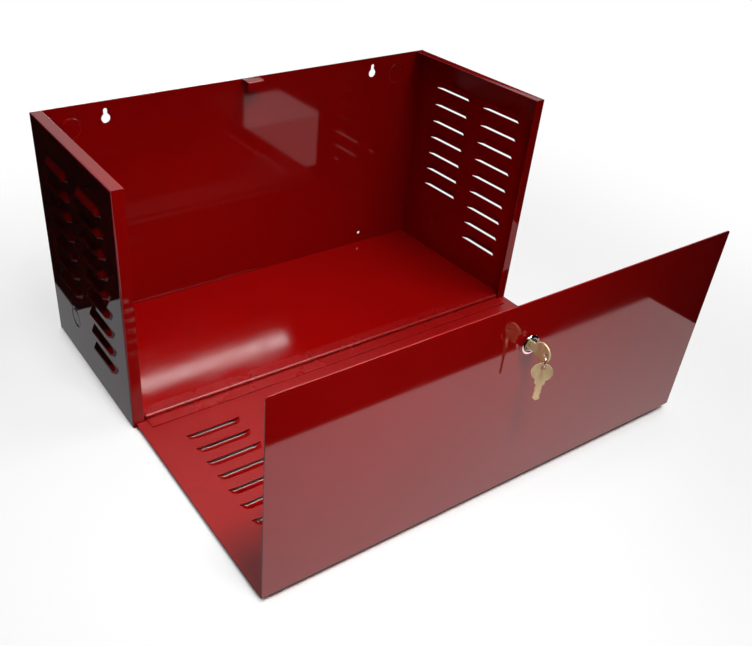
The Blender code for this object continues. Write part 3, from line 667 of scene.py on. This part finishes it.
def makeStrike():
    half = strike["width"] / 2
    back = backInner - cabinet["weldGap"]
    front = backInner - strike["reach"]
    top = cabinet["height"]
    bm = bmesh.new()
    ends = [bm.verts.new(at(side * half, back, top - strike["lip"])) for side in (-1, 1)]
    edges = drawOut(bm, [bm.edges.new(ends)], Vector((0, 0, strike["lip"])))
    bends = [edge for edge in edges if abs(edge.verts[0].co.x - edge.verts[1].co.x) > half]
    edges = drawOut(bm, bends, Vector((0, front - back, 0)))
    front = [edge for edge in edges if abs(edge.verts[0].co.x - edge.verts[1].co.x) > half]
    drawOut(bm, front, Vector((0, 0, -strike["lip"])))
    roundOff(bm, bends + front, strike["radius"])
    sheetPiece(bm, "strikeChannel", "cabinet", "strike", upZ, cabinet["sheet"])


makeStrike()
print("strike made")


# Cover: louvred panel, one bend, lock panel

hinge = {
    "y": 0.0028,
    "z": 0.0098,
    "length": 0.574,
    "knuckles": 45,
    "knuckleGap": 0.0003,
    "leaf": 0.0012,
    "leafWidth": 0.020,
    "pin": 0.0015,
    "pinGap": 0.0003,
    "notchGap": 0.0005,
    "wrap": math.radians(282),
    "rollSteps": 26,
    "edgeGap": 0.0002,
    "endGap": 0.0015,
    "pinSides": 40,
}
cover = {
    "half": 0.301,
    "columnIn": 0.078,
    "firstRow": 0.054,
    "rows": 9,
    "lockFace": 0.2994,
    "top": 0.2535,
    "corner": 0.003,
    "bend": 0.0030,
    "neckDepth": 0.0036,
    "holeRadius": 0.0096,
    "holeFlat": 0.0083,
    "lockHeight": 0.2045,
}


def lockHolePoints():
    lean = math.asin(cover["holeFlat"] / cover["holeRadius"])
    right = arc((0, cover["lockHeight"]), cover["holeRadius"], -lean, lean, 24)
    left = arc((0, cover["lockHeight"]), cover["holeRadius"], math.pi - lean, math.pi + lean, 24)
    return right + left


def makeCover():
    look = cover
    half = look["half"]
    neck = hinge["length"] / 2 + hinge["endGap"]
    low = louvre["rise"]
    bendStart = hinge["y"] + look["lockFace"] - look["bend"]
    matrix = faceOn(at(0, hinge["y"], low), upX, -upY)
    outline = [(-neck, hinge["edgeGap"]), (neck, hinge["edgeGap"]), (neck, look["neckDepth"]),
               (half, look["neckDepth"]), (half, bendStart), (-half, bendStart),
               (-half, look["neckDepth"]), (-neck, look["neckDepth"])]
    bm = bmesh.new()
    corners = [matrix @ Vector((*point, 0)) for point in outline]
    edges = []
    for side in (-1, 1):
        for row in range(look["rows"]):
            lip = look["firstRow"] + louvre["pitch"] * row
            edges += addLouvre(bm, matrix, -upZ, side * (half - look["columnIn"]), lip)
    fillFlat(bm, matrix, outline, [], cabinet["holeStrip"], cabinet["holeStrip"], edges)
    fold = edgesAlong(bm, corners[4], corners[5])
    bmesh.ops.spin(bm, geom=fold + list(fold[0].verts), cent=corners[4] + Vector((0, 0, look["bend"])),
                   axis=(-1, 0, 0), angle=math.pi / 2, steps=8)
    upright = faceOn(at(0, -look["lockFace"], 0), upX, upZ)
    low += look["bend"]
    curve = look["corner"]
    panel = [(-half, low), (half, low)] + arc((half - curve, look["top"] - curve), curve, 0, math.pi / 2, 8)
    panel += arc((curve - half, look["top"] - curve), curve, math.pi / 2, math.pi, 8)
    fillFlat(bm, upright, panel, [lockHolePoints()], cabinet["holeStrip"], cabinet["holeStrip"])
    sheetPiece(bm, "hingedCover", "cover", "cover", -upY, cabinet["sheet"], coverCoat)


makeCover()
print("cover made")


# Continuous hinge

def makeLeaf(name, node, body, hand, firstKnuckle):
    look = hinge
    pitch = look["length"] / look["knuckles"]
    radius = look["pin"] + look["pinGap"] + look["leaf"]
    under = look["z"] - radius
    clear = radius + look["notchGap"]
    bm = bmesh.new()
    corners = []
    for knuckle in range(look["knuckles"]):
        start = pitch * knuckle - look["length"] / 2
        for x in (start + look["knuckleGap"] / 2, start + pitch - look["knuckleGap"] / 2):
            corners.append(bm.verts.new(at(x, look["y"] + hand * clear, under)))
    edges = [bm.edges.new(pair) for pair in zip(corners, corners[1:])]
    rolled = edges[2 * firstKnuckle::4]
    drawOut(bm, edges, Vector((0, hand * (look["leafWidth"] - clear), 0)))
    tongues = [edge for edge in drawOut(bm, rolled, Vector((0, -hand * clear, 0)))
               if abs(edge.verts[0].co.x - edge.verts[1].co.x) > pitch / 2]
    rim = list({corner for edge in tongues for corner in edge.verts})
    bmesh.ops.spin(bm, geom=rim + tongues, cent=at(0, look["y"], look["z"]), axis=(-hand, 0, 0),
                   angle=look["wrap"], steps=look["rollSteps"])
    sheetPiece(bm, name, body, node, -upZ, look["leaf"], hingeCoat)


def makePin():
    look = hinge
    bm = bmesh.new()
    bmesh.ops.create_cone(bm, cap_ends=True, segments=look["pinSides"], radius1=look["pin"],
                          radius2=look["pin"], depth=look["length"])
    rims = [edge for edge in bm.edges if abs(edge.verts[0].co.z - edge.verts[1].co.z) < 1e-6]
    roundOff(bm, rims, look["pin"] / 3, 4)
    lie = Matrix.Translation(at(0, look["y"], look["z"])) @ Matrix.Rotation(math.pi / 2, 4, "Y")
    bmesh.ops.transform(bm, verts=bm.verts, matrix=lie)
    bmPiece(bm, "hingePin", "cabinet", "hinge_pin", zinc)


makeLeaf("bodyHingeLeaf", "hinge_leaf_body", "cabinet", 1, 0)
makeLeaf("coverHingeLeaf", "hinge_leaf_cover", "cover", -1, 1)
makePin()
print("hinge made")


# Cam lock, in its own frame: z runs out of the lock panel

softEdge = 0.0002
lock = {
    "headRadius": 0.011,
    "head": 0.006,
    "headRound": 0.0020,
    "barrelRadius": 0.0093,
    "barrelEnd": -0.017,
    "flat": 0.008,
    "threadPitch": 0.0011,
    "threadDepth": 0.00055,
    "plugRadius": 0.0063,
    "plugHeadRadius": 0.0074,
    "plugHead": 0.0018,
    "plugFace": 0.0052,
    "gap": 0.0003,
    "plugEnd": -0.0173,
    "tail": 0.0035,
    "tailEnd": -0.0201,
    "sides": 72,
}
lockFrame = Matrix.Translation(at(0, -cover["lockFace"], cover["lockHeight"])) @ Matrix.Rotation(math.pi / 2, 4, "X")


def turnProfile(bm, profile, closed, sides):
    corners = [bm.verts.new((radius, 0, height)) for radius, height in profile]
    edges = [bm.edges.new(pair) for pair in zip(corners, corners[1:])]
    if closed:
        edges.append(bm.edges.new((corners[-1], corners[0])))
    bmesh.ops.spin(bm, geom=corners + edges, cent=(0, 0, 0), axis=(0, 0, 1), angle=2 * math.pi,
                   steps=sides, use_merge=True)
    mergeAll(bm)


def lockPiece(bm, name, body, node, material):
    bmesh.ops.transform(bm, verts=bm.verts, matrix=lockFrame)
    return bmPiece(bm, name, body, node, material)


def cutFlat(bm, normal, distance, above):
    # a flat on the barrel that leaves the head whole
    barrel = [item for item in bm.faces if item.calc_center_median().z < above]
    edges = {edge for face in barrel for edge in face.edges}
    corners = {corner for face in barrel for corner in face.verts}
    bmesh.ops.bisect_plane(bm, geom=barrel + list(edges) + list(corners), dist=1e-7,
                           plane_co=normal * distance, plane_no=normal)
    for corner in bm.verts:
        if corner.co.z < above + 1e-6:
            reach = corner.co.dot(normal)
            if reach > distance:
                corner.co -= normal * (reach - distance)


def makeHousing():
    look = lock
    bore = look["plugRadius"] + look["gap"]
    mouth = look["plugHeadRadius"] + look["gap"]
    seat = look["plugFace"] - look["plugHead"] - look["gap"]
    start = -cabinet["sheet"] - 0.0004
    rim = (look["headRadius"] - look["headRound"], look["head"] - look["headRound"])
    profile = [(bore, look["barrelEnd"]), (bore, seat), (mouth, seat), (mouth, look["head"] - 0.0004),
               (mouth + 0.0004, look["head"])]
    profile += arc(rim, look["headRound"], math.pi / 2, 0, 8)
    profile += [(look["headRadius"], 0.0006), (look["headRadius"] - 0.0003, look["gap"]),
                (look["barrelRadius"], look["gap"]), (look["barrelRadius"], start)]
    turns = int((start - look["barrelEnd"] - 0.0006) / look["threadPitch"])
    for turn in range(turns):
        z = start - look["threadPitch"] * turn
        root = look["barrelRadius"] - look["threadDepth"]
        profile += [(root, z - look["threadPitch"] * 0.45), (look["barrelRadius"], z - look["threadPitch"] * 0.9),
                    (look["barrelRadius"], z - look["threadPitch"])]
    profile += [(look["barrelRadius"], look["barrelEnd"] + 0.0005),
                (look["barrelRadius"] - 0.0005, look["barrelEnd"])]
    bm = bmesh.new()
    turnProfile(bm, profile, True, look["sides"])
    for side in (-1, 1):
        cutFlat(bm, Vector((0, side, 0)), look["flat"], softEdge)
    lockPiece(bm, "lockHousing", "cover", "lock_housing", chrome)


key = {
    "thick": 0.0018,
    "blade": 0.020,
    "half": 0.0035,
    "tip": 0.0024,
    "cuts": (0.8, 0.35, 1.0, 0.55, 0.75),
    "cutDepth": 0.0011,
    "neck": 0.005,
    "shoulder": 0.005,
    "bow": 0.0105,
    "eye": 0.0025,
    "eyeIn": 0.005,
    "edgeRound": 0.00028,
    "groove": 0.00035,
    "stop": 0.0055,
}
key["bowCentre"] = key["neck"] + math.sqrt(key["bow"] ** 2 - key["shoulder"] ** 2)
key["eyeAt"] = key["bowCentre"] + key["bow"] - key["eyeIn"]


def makePlug():
    look = lock
    across = key["thick"] / 2 + look["gap"]
    tall = key["half"] + look["gap"]
    bm = bmesh.new()
    face = Matrix.Translation((0, 0, look["plugFace"]))
    rim = addCircle(bm, face, look["plugHeadRadius"] - 0.0003, look["sides"])
    slot = addLoop(bm, [(x, y, look["plugFace"]) for x, y in
                        ((-across, -tall), (across, -tall), (across, tall), (-across, tall))])
    bmesh.ops.triangle_fill(bm, edges=rim + slot, use_beauty=True)
    floor = drawOut(bm, slot, Vector((0, 0, key["stop"] - key["blade"] - 2 * look["gap"] - look["plugFace"])))
    floor = [edge for edge in floor if len(edge.link_faces) == 1]
    bmesh.ops.contextual_create(bm, geom=floor)
    steps = ((0.0003, -0.0003), (0, 0.0003 - look["plugHead"]), (look["plugRadius"] - look["plugHeadRadius"], 0),
             (0, look["plugEnd"] - look["plugFace"] + look["plugHead"]))
    for grow, drop in steps:
        outer = drawOut(bm, rim, Vector((0, 0, drop)))
        rim = [edge for edge in outer if len(edge.link_faces) == 1]
        corners = {corner for edge in rim for corner in edge.verts}
        for corner in corners:
            flat = corner.co.xy
            corner.co.xy = flat * (1 + grow / flat.length)
    bmesh.ops.contextual_create(bm, geom=rim)
    bmesh.ops.recalc_face_normals(bm, faces=bm.faces)
    tail = bmesh.ops.create_cube(bm, size=2 * look["tail"])["verts"]
    spot = (look["plugEnd"] + look["tailEnd"]) / 2
    length = look["plugEnd"] - look["tailEnd"]
    bmesh.ops.scale(bm, verts=tail, vec=(1, 1, length / (2 * look["tail"])))
    bmesh.ops.translate(bm, verts=tail, vec=(0, 0, spot))
    lockPiece(bm, "lockPlug", "lock_core", "lock_plug", chrome)


def platePiece(outlines, thickness, edgeRound, grooves=()):
    # a flat plate in x and y, centred on z, with softened edges and shallow milled grooves
    bm = bmesh.new()
    top = Matrix.Translation((0, 0, thickness / 2))
    sunken = [addLoop(bm, [top @ Vector((*point, 0)) for point in points]) for points in grooves]
    extra = [edge for loop in sunken for edge in loop]
    fillFlat(bm, top, outlines[0], outlines[1:], 1.6 * edgeRound, 1.6 * edgeRound, extra)
    for loop in sunken:
        floor = drawOut(bm, loop, Vector((0, 0, -key["groove"])))
        bmesh.ops.contextual_create(bm, geom=[edge for edge in floor if len(edge.link_faces) == 1])
    rims = [edge for edge in bm.edges if len(edge.link_faces) == 1]
    mirrored = bmesh.ops.duplicate(bm, geom=bm.verts[:] + bm.edges[:] + bm.faces[:])["geom"]
    bmesh.ops.scale(bm, verts=onlyVerts(mirrored), vec=(1, 1, -1))
    drawOut(bm, rims, Vector((0, 0, -thickness)))
    mergeAll(bm)
    side = [edge for edge in bm.edges if len(edge.link_faces) == 2 and edge.calc_face_angle() > 1.2
            and all(len(face.verts) == 4 for face in edge.link_faces)
            and abs(abs(edge.verts[0].co.z) - thickness / 2) < 1e-6
            and abs(edge.verts[0].co.z - edge.verts[1].co.z) < 1e-6]
    roundOff(bm, side, edgeRound, 2)
    return bm


lockFixings = {
    "washerRim": 0.0132,
    "washerTop": -0.0018,
    "washer": 0.0008,
    "nutTop": -0.0029,
    "nut": 0.004,
    "nutFlats": 0.025,
    "bore": 0.0096,
    "camReach": 0.048,
    "camHub": 0.010,
    "camTip": 0.007,
    "cam": 0.0025,
    "camFace": -0.0176,
    "camHole": 0.0038,
    "camWasherRim": 0.0056,
    "camWasherBore": 0.0023,
    "screwHead": 0.004,
    "screw": 0.002,
    "screwTall": 0.0026,
    "screwGrip": 0.004,
    "seam": 0.0003,
}


def makeLockFixings():
    look = lockFixings
    bm = bmesh.new()
    low = look["washerTop"] - look["washer"]
    turnProfile(bm, [(look["bore"], low), (look["bore"], look["washerTop"]),
                     (look["washerRim"] - softEdge, look["washerTop"]),
                     (look["washerRim"], look["washerTop"] - softEdge),
                     (look["washerRim"], low + softEdge), (look["washerRim"] - softEdge, low)], True, lock["sides"])
    lockPiece(bm, "lockWasher", "cover", "lock_washer", zinc)
    corner = look["nutFlats"] / 2 / math.cos(math.pi / 6)
    outline = arc((0, 0), corner, 0, 2 * math.pi, 6)[:-1]
    hole = arc((0, 0), look["bore"], 0, 2 * math.pi, lock["sides"])[:-1]
    bm = platePiece([outline, hole], look["nut"], 0.0005)
    bmesh.ops.translate(bm, verts=bm.verts, vec=(0, 0, look["nutTop"] - look["nut"] / 2))
    lockPiece(bm, "lockNut", "cover", "lock_nut", zinc)


def makeCam():
    look = lockFixings
    tip = look["camReach"] - look["camTip"]
    lean = math.acos((look["camHub"] - look["camTip"]) / tip)
    outline = arc((0, 0), look["camHub"], lean, 2 * math.pi - lean, 40)
    outline += arc((tip, 0), look["camTip"], -lean, lean, 24)
    half = look["camHole"]
    hole = [(-half, -half), (half, -half), (half, half), (-half, half)]
    bm = platePiece([outline, hole], look["cam"], 0.0004)
    bmesh.ops.translate(bm, verts=bm.verts, vec=(0, 0, look["camFace"] - look["cam"] / 2))
    lockPiece(bm, "lockCam", "lock_core", "lock_cam", zinc)
    top = lock["tailEnd"] - look["seam"]
    low = top - look["washer"]
    bm = bmesh.new()
    turnProfile(bm, [(look["camWasherBore"], low), (look["camWasherBore"], top),
                     (look["camWasherRim"] - softEdge, top),
                     (look["camWasherRim"], top - softEdge), (look["camWasherRim"], low + softEdge),
                     (look["camWasherRim"] - softEdge, low)], True, 48)
    lockPiece(bm, "camWasher", "lock_core", "cam_washer", zinc)
    under = low - look["seam"]
    end = under - look["screwTall"]
    bm = bmesh.new()
    profile = [(0, lock["tailEnd"] + look["screwGrip"]),
               (look["screw"] - 0.0003, lock["tailEnd"] + look["screwGrip"]),
               (look["screw"], lock["tailEnd"] + look["screwGrip"] - 0.0003), (look["screw"], under),
               (look["screwHead"], under), (look["screwHead"], end + 0.0008)]
    profile += arc((look["screwHead"] - 0.0008, end + 0.0008), 0.0008, 0, -math.pi / 2, 5)[1:]
    profile += [(0.0024, end)]
    turnProfile(bm, profile + [(0.0020, end + 0.0010), (0, end + 0.0010)], False, 48)
    lockPiece(bm, "camScrew", "lock_core", "cam_screw", zinc)


makeHousing()
makePlug()
makeLockFixings()
makeCam()
print("lock made")


# Keys and ring

def keyOutline():
    look = key
    step = (look["blade"] - look["tip"]) / (len(look["cuts"]) + 1)
    upper = []
    for cut, deep in enumerate(look["cuts"]):
        middle = -(cut + 1) * step
        depth = look["cutDepth"] * deep
        upper += [(middle + step / 2, look["half"]), (middle + step / 7, look["half"] - depth),
                  (middle - step / 7, look["half"] - depth)]
    upper += [(-(len(look["cuts"]) + 0.5) * step, look["half"]), (look["tip"] - look["blade"], look["half"]),
              (-look["blade"] + 0.0006, look["half"] - look["tip"] + 0.0006),
              (-look["blade"], look["half"] - look["tip"] - 0.0004)]
    lower = [(along, -across) for along, across in reversed(upper)]
    lean = math.asin(look["shoulder"] / look["bow"])
    bow = arc((look["bowCentre"], 0), look["bow"], lean - math.pi, math.pi - lean, 56)
    outline = upper + lower + [(0, -look["half"]), (0, -look["shoulder"])] + bow
    outline += [(0, look["shoulder"]), (0, look["half"])]
    eye = arc((look["eyeAt"], 0), look["eye"], 0, 2 * math.pi, 32)[:-1]
    return [outline, eye]


def keyGroove():
    look = key
    return [(-look["blade"] + 0.002, -0.0012), (look["neck"] - 0.001, -0.0012),
            (look["neck"] - 0.0004, -0.0006), (look["neck"] - 0.001, 0), (-look["blade"] + 0.002, 0)]


def makeKey(name, node, body, matrix):
    bm = platePiece(keyOutline(), key["thick"], key["edgeRound"], [keyGroove()])
    bmesh.ops.transform(bm, verts=bm.verts, matrix=matrix)
    bmPiece(bm, name, body, node, brass)


ring = {
    "wire": 0.0006,
    "radius": 0.0063,
    "seat": 0.0012,
    "yaw": math.radians(45),
    "gap": math.radians(7),
    "sides": 16,
    "steps": 90,
}


def makeKeys():
    eyePoint = lockFrame @ Vector((0, 0, key["stop"] + key["eyeAt"]))
    drop = ring["radius"] + ring["seat"]
    upright = Matrix.Rotation(-math.pi / 2, 4, "Y")
    makeKey("lockKey", "key", "key", lockFrame @ Matrix.Translation((0, 0, key["stop"])) @ upright)
    spareEye = eyePoint - Vector((0, 0, 2 * drop))
    faced = Matrix.Translation(spareEye) @ Matrix.Rotation(-ring["yaw"], 4, "Z")
    hang = Matrix.Rotation(math.pi / 2, 4, "X") @ Matrix.Rotation(math.pi / 2, 4, "Z")
    makeKey("spareKey", "spare_key", "spare_key", faced @ hang @ Matrix.Translation((-key["eyeAt"], 0, 0)))
    bm = bmesh.new()
    wire = addCircle(bm, Matrix.Translation((ring["radius"], 0, 0)), ring["wire"], ring["sides"])
    bmesh.ops.rotate(bm, verts=bm.verts, cent=(ring["radius"], 0, 0), matrix=Matrix.Rotation(math.pi / 2, 3, "X"))
    corners = list({corner for edge in wire for corner in edge.verts})
    bmesh.ops.spin(bm, geom=corners + wire, cent=(0, 0, 0), axis=(0, 0, 1),
                   angle=2 * math.pi - ring["gap"], steps=ring["steps"])
    bmesh.ops.holes_fill(bm, edges=[edge for edge in bm.edges if len(edge.link_faces) == 1])
    mergeAll(bm)
    lie = Matrix.Rotation(ring["yaw"], 4, "Z") @ Matrix.Rotation(math.pi / 2, 4, "X")
    turn = Matrix.Translation(eyePoint - Vector((0, 0, drop))) @ lie @ Matrix.Rotation(0.6, 4, "Z")
    bmesh.ops.transform(bm, verts=bm.verts, matrix=turn)
    bmPiece(bm, "keyRing", "key_ring", "key_ring", ringSteel)


makeKeys()
print("keys made")


# Floor, dark walls and light

studio = {
    "floorHalf": 4.0,
    "floorDrop": 0.0003,
    "floorColour": (0.86, 0.86, 0.86),
    # painted shade under the part, tinted pink as painted red bounce from the coat
    "paintedShadeColour": (0.55, 0.36, 0.34),
    "bounceColour": (0.14, 0.14, 0.14),
    "footprint": (0.265, 0.225, 1.0),
    "floorLift": 0.70,
    "shadeReach": 0.03,
    "shadeSpan": (0.40, 0.56),
    "fadeStart": 0.10,
    "fadeEnd": 0.70,
    "wallRadius": 3.0,
    "wallSteps": 48,
}
# glowing cards seen only in reflections stand in for a lit table: painted reflections, pink tints as painted red
# bounce, glow ramps as painted falloff; the wide near-black card is painted shade
boards = {
    "mirroredShadeCard": {"low": (-4.0, -4.0), "high": (4.0, 4.0), "lift": 0.0001, "colour": (1.0, 1.0, 1.0),
                  "glow": (0.004, 0.004)},
    "frontBoard": {"low": (-0.90, -0.49), "high": (0.10, -0.30), "lift": 0.0002, "colour": (1.0, 0.68, 0.69),
                   "glow": (1.42, 1.42)},
    "cornerBoard": {"low": (0.10, -0.49), "high": (0.508, -0.30), "lift": 0.0002, "colour": (1.0, 0.66, 0.66),
                    "glow": (1.42, 1.08)},
    "rightBoard": {"low": (0.305, -0.30), "high": (0.508, -0.065), "lift": 0.0002, "colour": (1.0, 0.48, 0.48),
                   "glow": (0.95, 1.00)},
    "leftBoard": {"low": (-0.90, -0.30), "high": (-0.305, 0.283), "lift": 0.0002, "colour": (0.94, 0.97, 1.0),
                  "glow": (0.38, 0.38)},
    "rearBoard": {"low": (-0.338, 0.283), "high": (-0.305, 0.42), "lift": 0.0002, "colour": (0.94, 0.97, 1.0),
                  "glow": (0.38, 0.38)},
}
# dark walls and a grey screen that glow, seen only in reflections: painted reflections of a dark room
walls = {
    "frontWall": {"start": math.pi, "foot": 0.0, "top": 8.0, "glow": 0.004},
    "rearWall": {"start": 0.0, "foot": 0.0, "top": 1.15, "glow": 0.004},
    "rearScreen": {"start": 0.0, "foot": 1.15, "top": 12.0, "glow": 0.58},
}
lamps = {
    "overhead": {"place": (0.45, -0.20, 1.50), "aim": (0.0, -0.05, 0.0), "size": (0.5, 0.5), "power": 9.2,
                 "spread": 180, "mirrored": True, "lights": True},
    "gridded": {"place": (-0.21, -0.68, 1.50), "aim": (-0.22, -0.18, 0.0), "size": (0.32, 0.32), "power": 2.4,
                "spread": 55, "mirrored": True, "lights": True},
    "frontFill": {"place": (-0.15, -0.70, 0.30), "aim": (0.0, 0.0, 0.10), "size": (0.25, 0.25), "power": 0.46,
                  "spread": 180, "mirrored": False, "lights": True},
    "backFill": {"place": (0.30, 1.60, 0.36), "aim": (0.0, 0.25, 0.15), "size": (0.8, 0.4), "power": 14,
                 "spread": 180, "mirrored": True, "lights": True},
    "rightFill": {"place": (1.70, 0.10, 0.16), "aim": (0.30, 0.10, 0.15), "size": (0.8, 0.28), "power": 11,
                  "spread": 180, "mirrored": True, "lights": True},
    "strip": {"place": (0.64, -1.78, 1.825), "aim": (0.64, 0.0, 0.10), "size": (1.50, 0.06), "power": 20,
              "spread": 180, "mirrored": True, "lights": False},
}


def stageSheet(name, bm, material):
    mesh = bpy.data.meshes.new(name)
    bm.to_mesh(mesh)
    bm.free()
    mesh.materials.append(material)
    item = bpy.data.objects.new(name, mesh)
    bpy.context.scene.collection.objects.link(item)
    return item


def flatSheet(name, low, high, z, material):
    corners = [at(x, y, z) for x, y in ((low[0], low[1]), (high[0], low[1]), (high[0], high[1]), (low[0], high[1]))]
    bm = bmesh.new()
    bmesh.ops.triangle_fill(bm, edges=addLoop(bm, corners), use_beauty=True)
    return stageSheet(name, bm, material)


def onlyMirrored(item):
    item.visible_camera = False
    item.visible_diffuse = False
    item.visible_transmission = False
    item.visible_shadow = False


def addReach(tree, half):
    # distance from a box round the origin
    place = tree.nodes.new("ShaderNodeTexCoord").outputs["Object"]
    zero = (0, 0, 0)
    for operation, value in (("ABSOLUTE", zero), ("SUBTRACT", half), ("MAXIMUM", zero), ("LENGTH", zero)):
        node = tree.nodes.new("ShaderNodeVectorMath")
        node.operation = operation
        tree.links.new(place, node.inputs[0])
        node.inputs[1].default_value = value
        place = node.outputs[0]
    return node.outputs["Value"]


def makeFloor():
    look = studio
    material = bpy.data.materials.new("paleFloor")
    material.use_nodes = True
    tree = material.node_tree
    tree.nodes.remove(tree.nodes["Principled BSDF"])
    path = tree.nodes.new("ShaderNodeLightPath")
    matt = tree.nodes.new("ShaderNodeBsdfDiffuse")
    reach = addReach(tree, look["footprint"])
    hidden = tree.nodes.new("ShaderNodeAmbientOcclusion")  # painted shade: darker pinkish floor and no white glow where the part lies close over it
    hidden.samples = 8
    hidden.inputs["Distance"].default_value = look["shadeReach"]
    near = addRange(tree, hidden.outputs["AO"], *look["shadeSpan"])
    colour = addMix(tree, near, look["paintedShadeColour"], look["floorColour"])
    colour = addMix(tree, path.outputs["Is Diffuse Ray"], colour, look["bounceColour"])
    tree.links.new(colour, matt.inputs["Color"])
    glow = tree.nodes.new("ShaderNodeEmission")
    lift = addMath(tree, "MULTIPLY", near, look["floorLift"])
    fade = addRange(tree, reach, look["fadeStart"], look["fadeEnd"], 0.0, 1 - look["floorLift"])
    share = addMath(tree, "MULTIPLY", addMath(tree, "ADD", lift, fade), path.outputs["Is Camera Ray"])
    blend = tree.nodes.new("ShaderNodeMixShader")
    tree.links.new(share, blend.inputs["Fac"])
    tree.links.new(matt.outputs["BSDF"], blend.inputs[1])
    tree.links.new(glow.outputs["Emission"], blend.inputs[2])
    tree.links.new(blend.outputs["Shader"], tree.nodes["Material Output"].inputs["Surface"])
    half = look["floorHalf"]
    flatSheet("paleFloor", (-half, -half), (half, half), -look["floorDrop"], material)


def glowMaterial(name):
    material = bpy.data.materials.new(name)
    material.use_nodes = True
    tree = material.node_tree
    tree.nodes.remove(tree.nodes["Principled BSDF"])
    glow = tree.nodes.new("ShaderNodeEmission")
    tree.links.new(glow.outputs["Emission"], tree.nodes["Material Output"].inputs["Surface"])
    return material, tree, glow


def makeBoard(name, look):
    # a glowing card seen only in reflections, a painted reflection of a lit table, whose brightness runs from its
    # left edge to its right
    material, tree, glow = glowMaterial(name)
    place = tree.nodes.new("ShaderNodeTexCoord")
    parts = tree.nodes.new("ShaderNodeSeparateXYZ")
    tree.links.new(place.outputs["Object"], parts.inputs["Vector"])
    strength = addRange(tree, parts.outputs["X"], look["low"][0], look["high"][0], *look["glow"])
    tree.links.new(strength, glow.inputs["Strength"])
    glow.inputs["Color"].default_value = (*look["colour"], 1)
    onlyMirrored(flatSheet(name, look["low"], look["high"], look["lift"] - studio["floorDrop"], material))


def makeWall(name, look):
    material, _, glow = glowMaterial(name)
    glow.inputs["Strength"].default_value = look["glow"]
    turn = Vector((math.cos(look["start"]), math.sin(look["start"]), 0)) * studio["wallRadius"]
    bm = bmesh.new()
    ends = [bm.verts.new(at(*turn) + Vector((0, 0, rise))) for rise in (look["foot"], look["top"])]
    post = bm.edges.new(ends)
    bmesh.ops.spin(bm, geom=ends + [post], cent=at(0, 0, 0), axis=(0, 0, 1), angle=math.pi, steps=studio["wallSteps"])
    onlyMirrored(stageSheet(name, bm, material))


def makeSurroundings():
    # what gloss sees, as painted reflections from glowing cards and walls: a pale table in a dark room, under a grey
    # screen
    for name, look in boards.items():
        makeBoard(name, look)
    for name, look in walls.items():
        makeWall(name, look)


def makeLight():
    world = bpy.data.worlds.new("studioWorld")
    bpy.context.scene.world = world
    world.use_nodes = True
    tree = world.node_tree
    white = tree.nodes["Background"]
    white.inputs["Color"].default_value = (1, 1, 1, 1)
    path = tree.nodes.new("ShaderNodeLightPath")
    seen = addMath(tree, "MAXIMUM", path.outputs["Is Camera Ray"], path.outputs["Is Glossy Ray"])
    seen = addMath(tree, "MAXIMUM", seen, path.outputs["Is Transmission Ray"])
    tree.links.new(seen, white.inputs["Strength"])
    for name, look in lamps.items():
        lamp = bpy.data.lights.new(name, "AREA")
        lamp.shape = "RECTANGLE"
        lamp.size, lamp.size_y = look["size"]
        lamp.energy = look["power"]
        lamp.spread = math.radians(look["spread"])
        item = bpy.data.objects.new(name, lamp)
        bpy.context.scene.collection.objects.link(item)
        place = at(*look["place"])
        aim = at(*look["aim"]) - place
        item.matrix_world = Matrix.Translation(place) @ aim.to_track_quat("-Z", "Y").to_matrix().to_4x4()
        item.visible_camera = False
        item.visible_glossy = look["mirrored"]
        item.visible_diffuse = look["lights"]


makeFloor()
makeSurroundings()
makeLight()
print("studio made")


# Camera, solved from the cabinet's corners in the photograph

camera = {
    "place": (-0.571835, -0.745252, 0.670138),
    "right": (0.847316, -0.530121, 0.032062),
    "down": (-0.281585, -0.499616, -0.819203),
    "forward": (0.450295, 0.685095, -0.572607),
    "focalPixels": 840.509,
    "axisPixels": (291.056, 344.568),
    "imageSize": (752, 646),
}


def makeCamera():
    data = bpy.data.cameras.new("photoCamera")
    wide, tall = camera["imageSize"]
    data.sensor_fit = "HORIZONTAL"
    data.sensor_width = 36
    data.lens = camera["focalPixels"] / wide * data.sensor_width
    data.shift_x = (wide / 2 - camera["axisPixels"][0]) / wide
    data.shift_y = (camera["axisPixels"][1] - tall / 2) / wide
    data.clip_start = 0.01
    item = bpy.data.objects.new("photoCamera", data)
    bpy.context.scene.collection.objects.link(item)
    turn = Matrix((Vector(camera["right"]), -Vector(camera["down"]), -Vector(camera["forward"]))).transposed()
    item.matrix_world = Matrix.Translation(at(*camera["place"])) @ turn.to_4x4()
    bpy.context.scene.camera = item


makeCamera()
print("camera set")

bpy.context.view_layer.update()
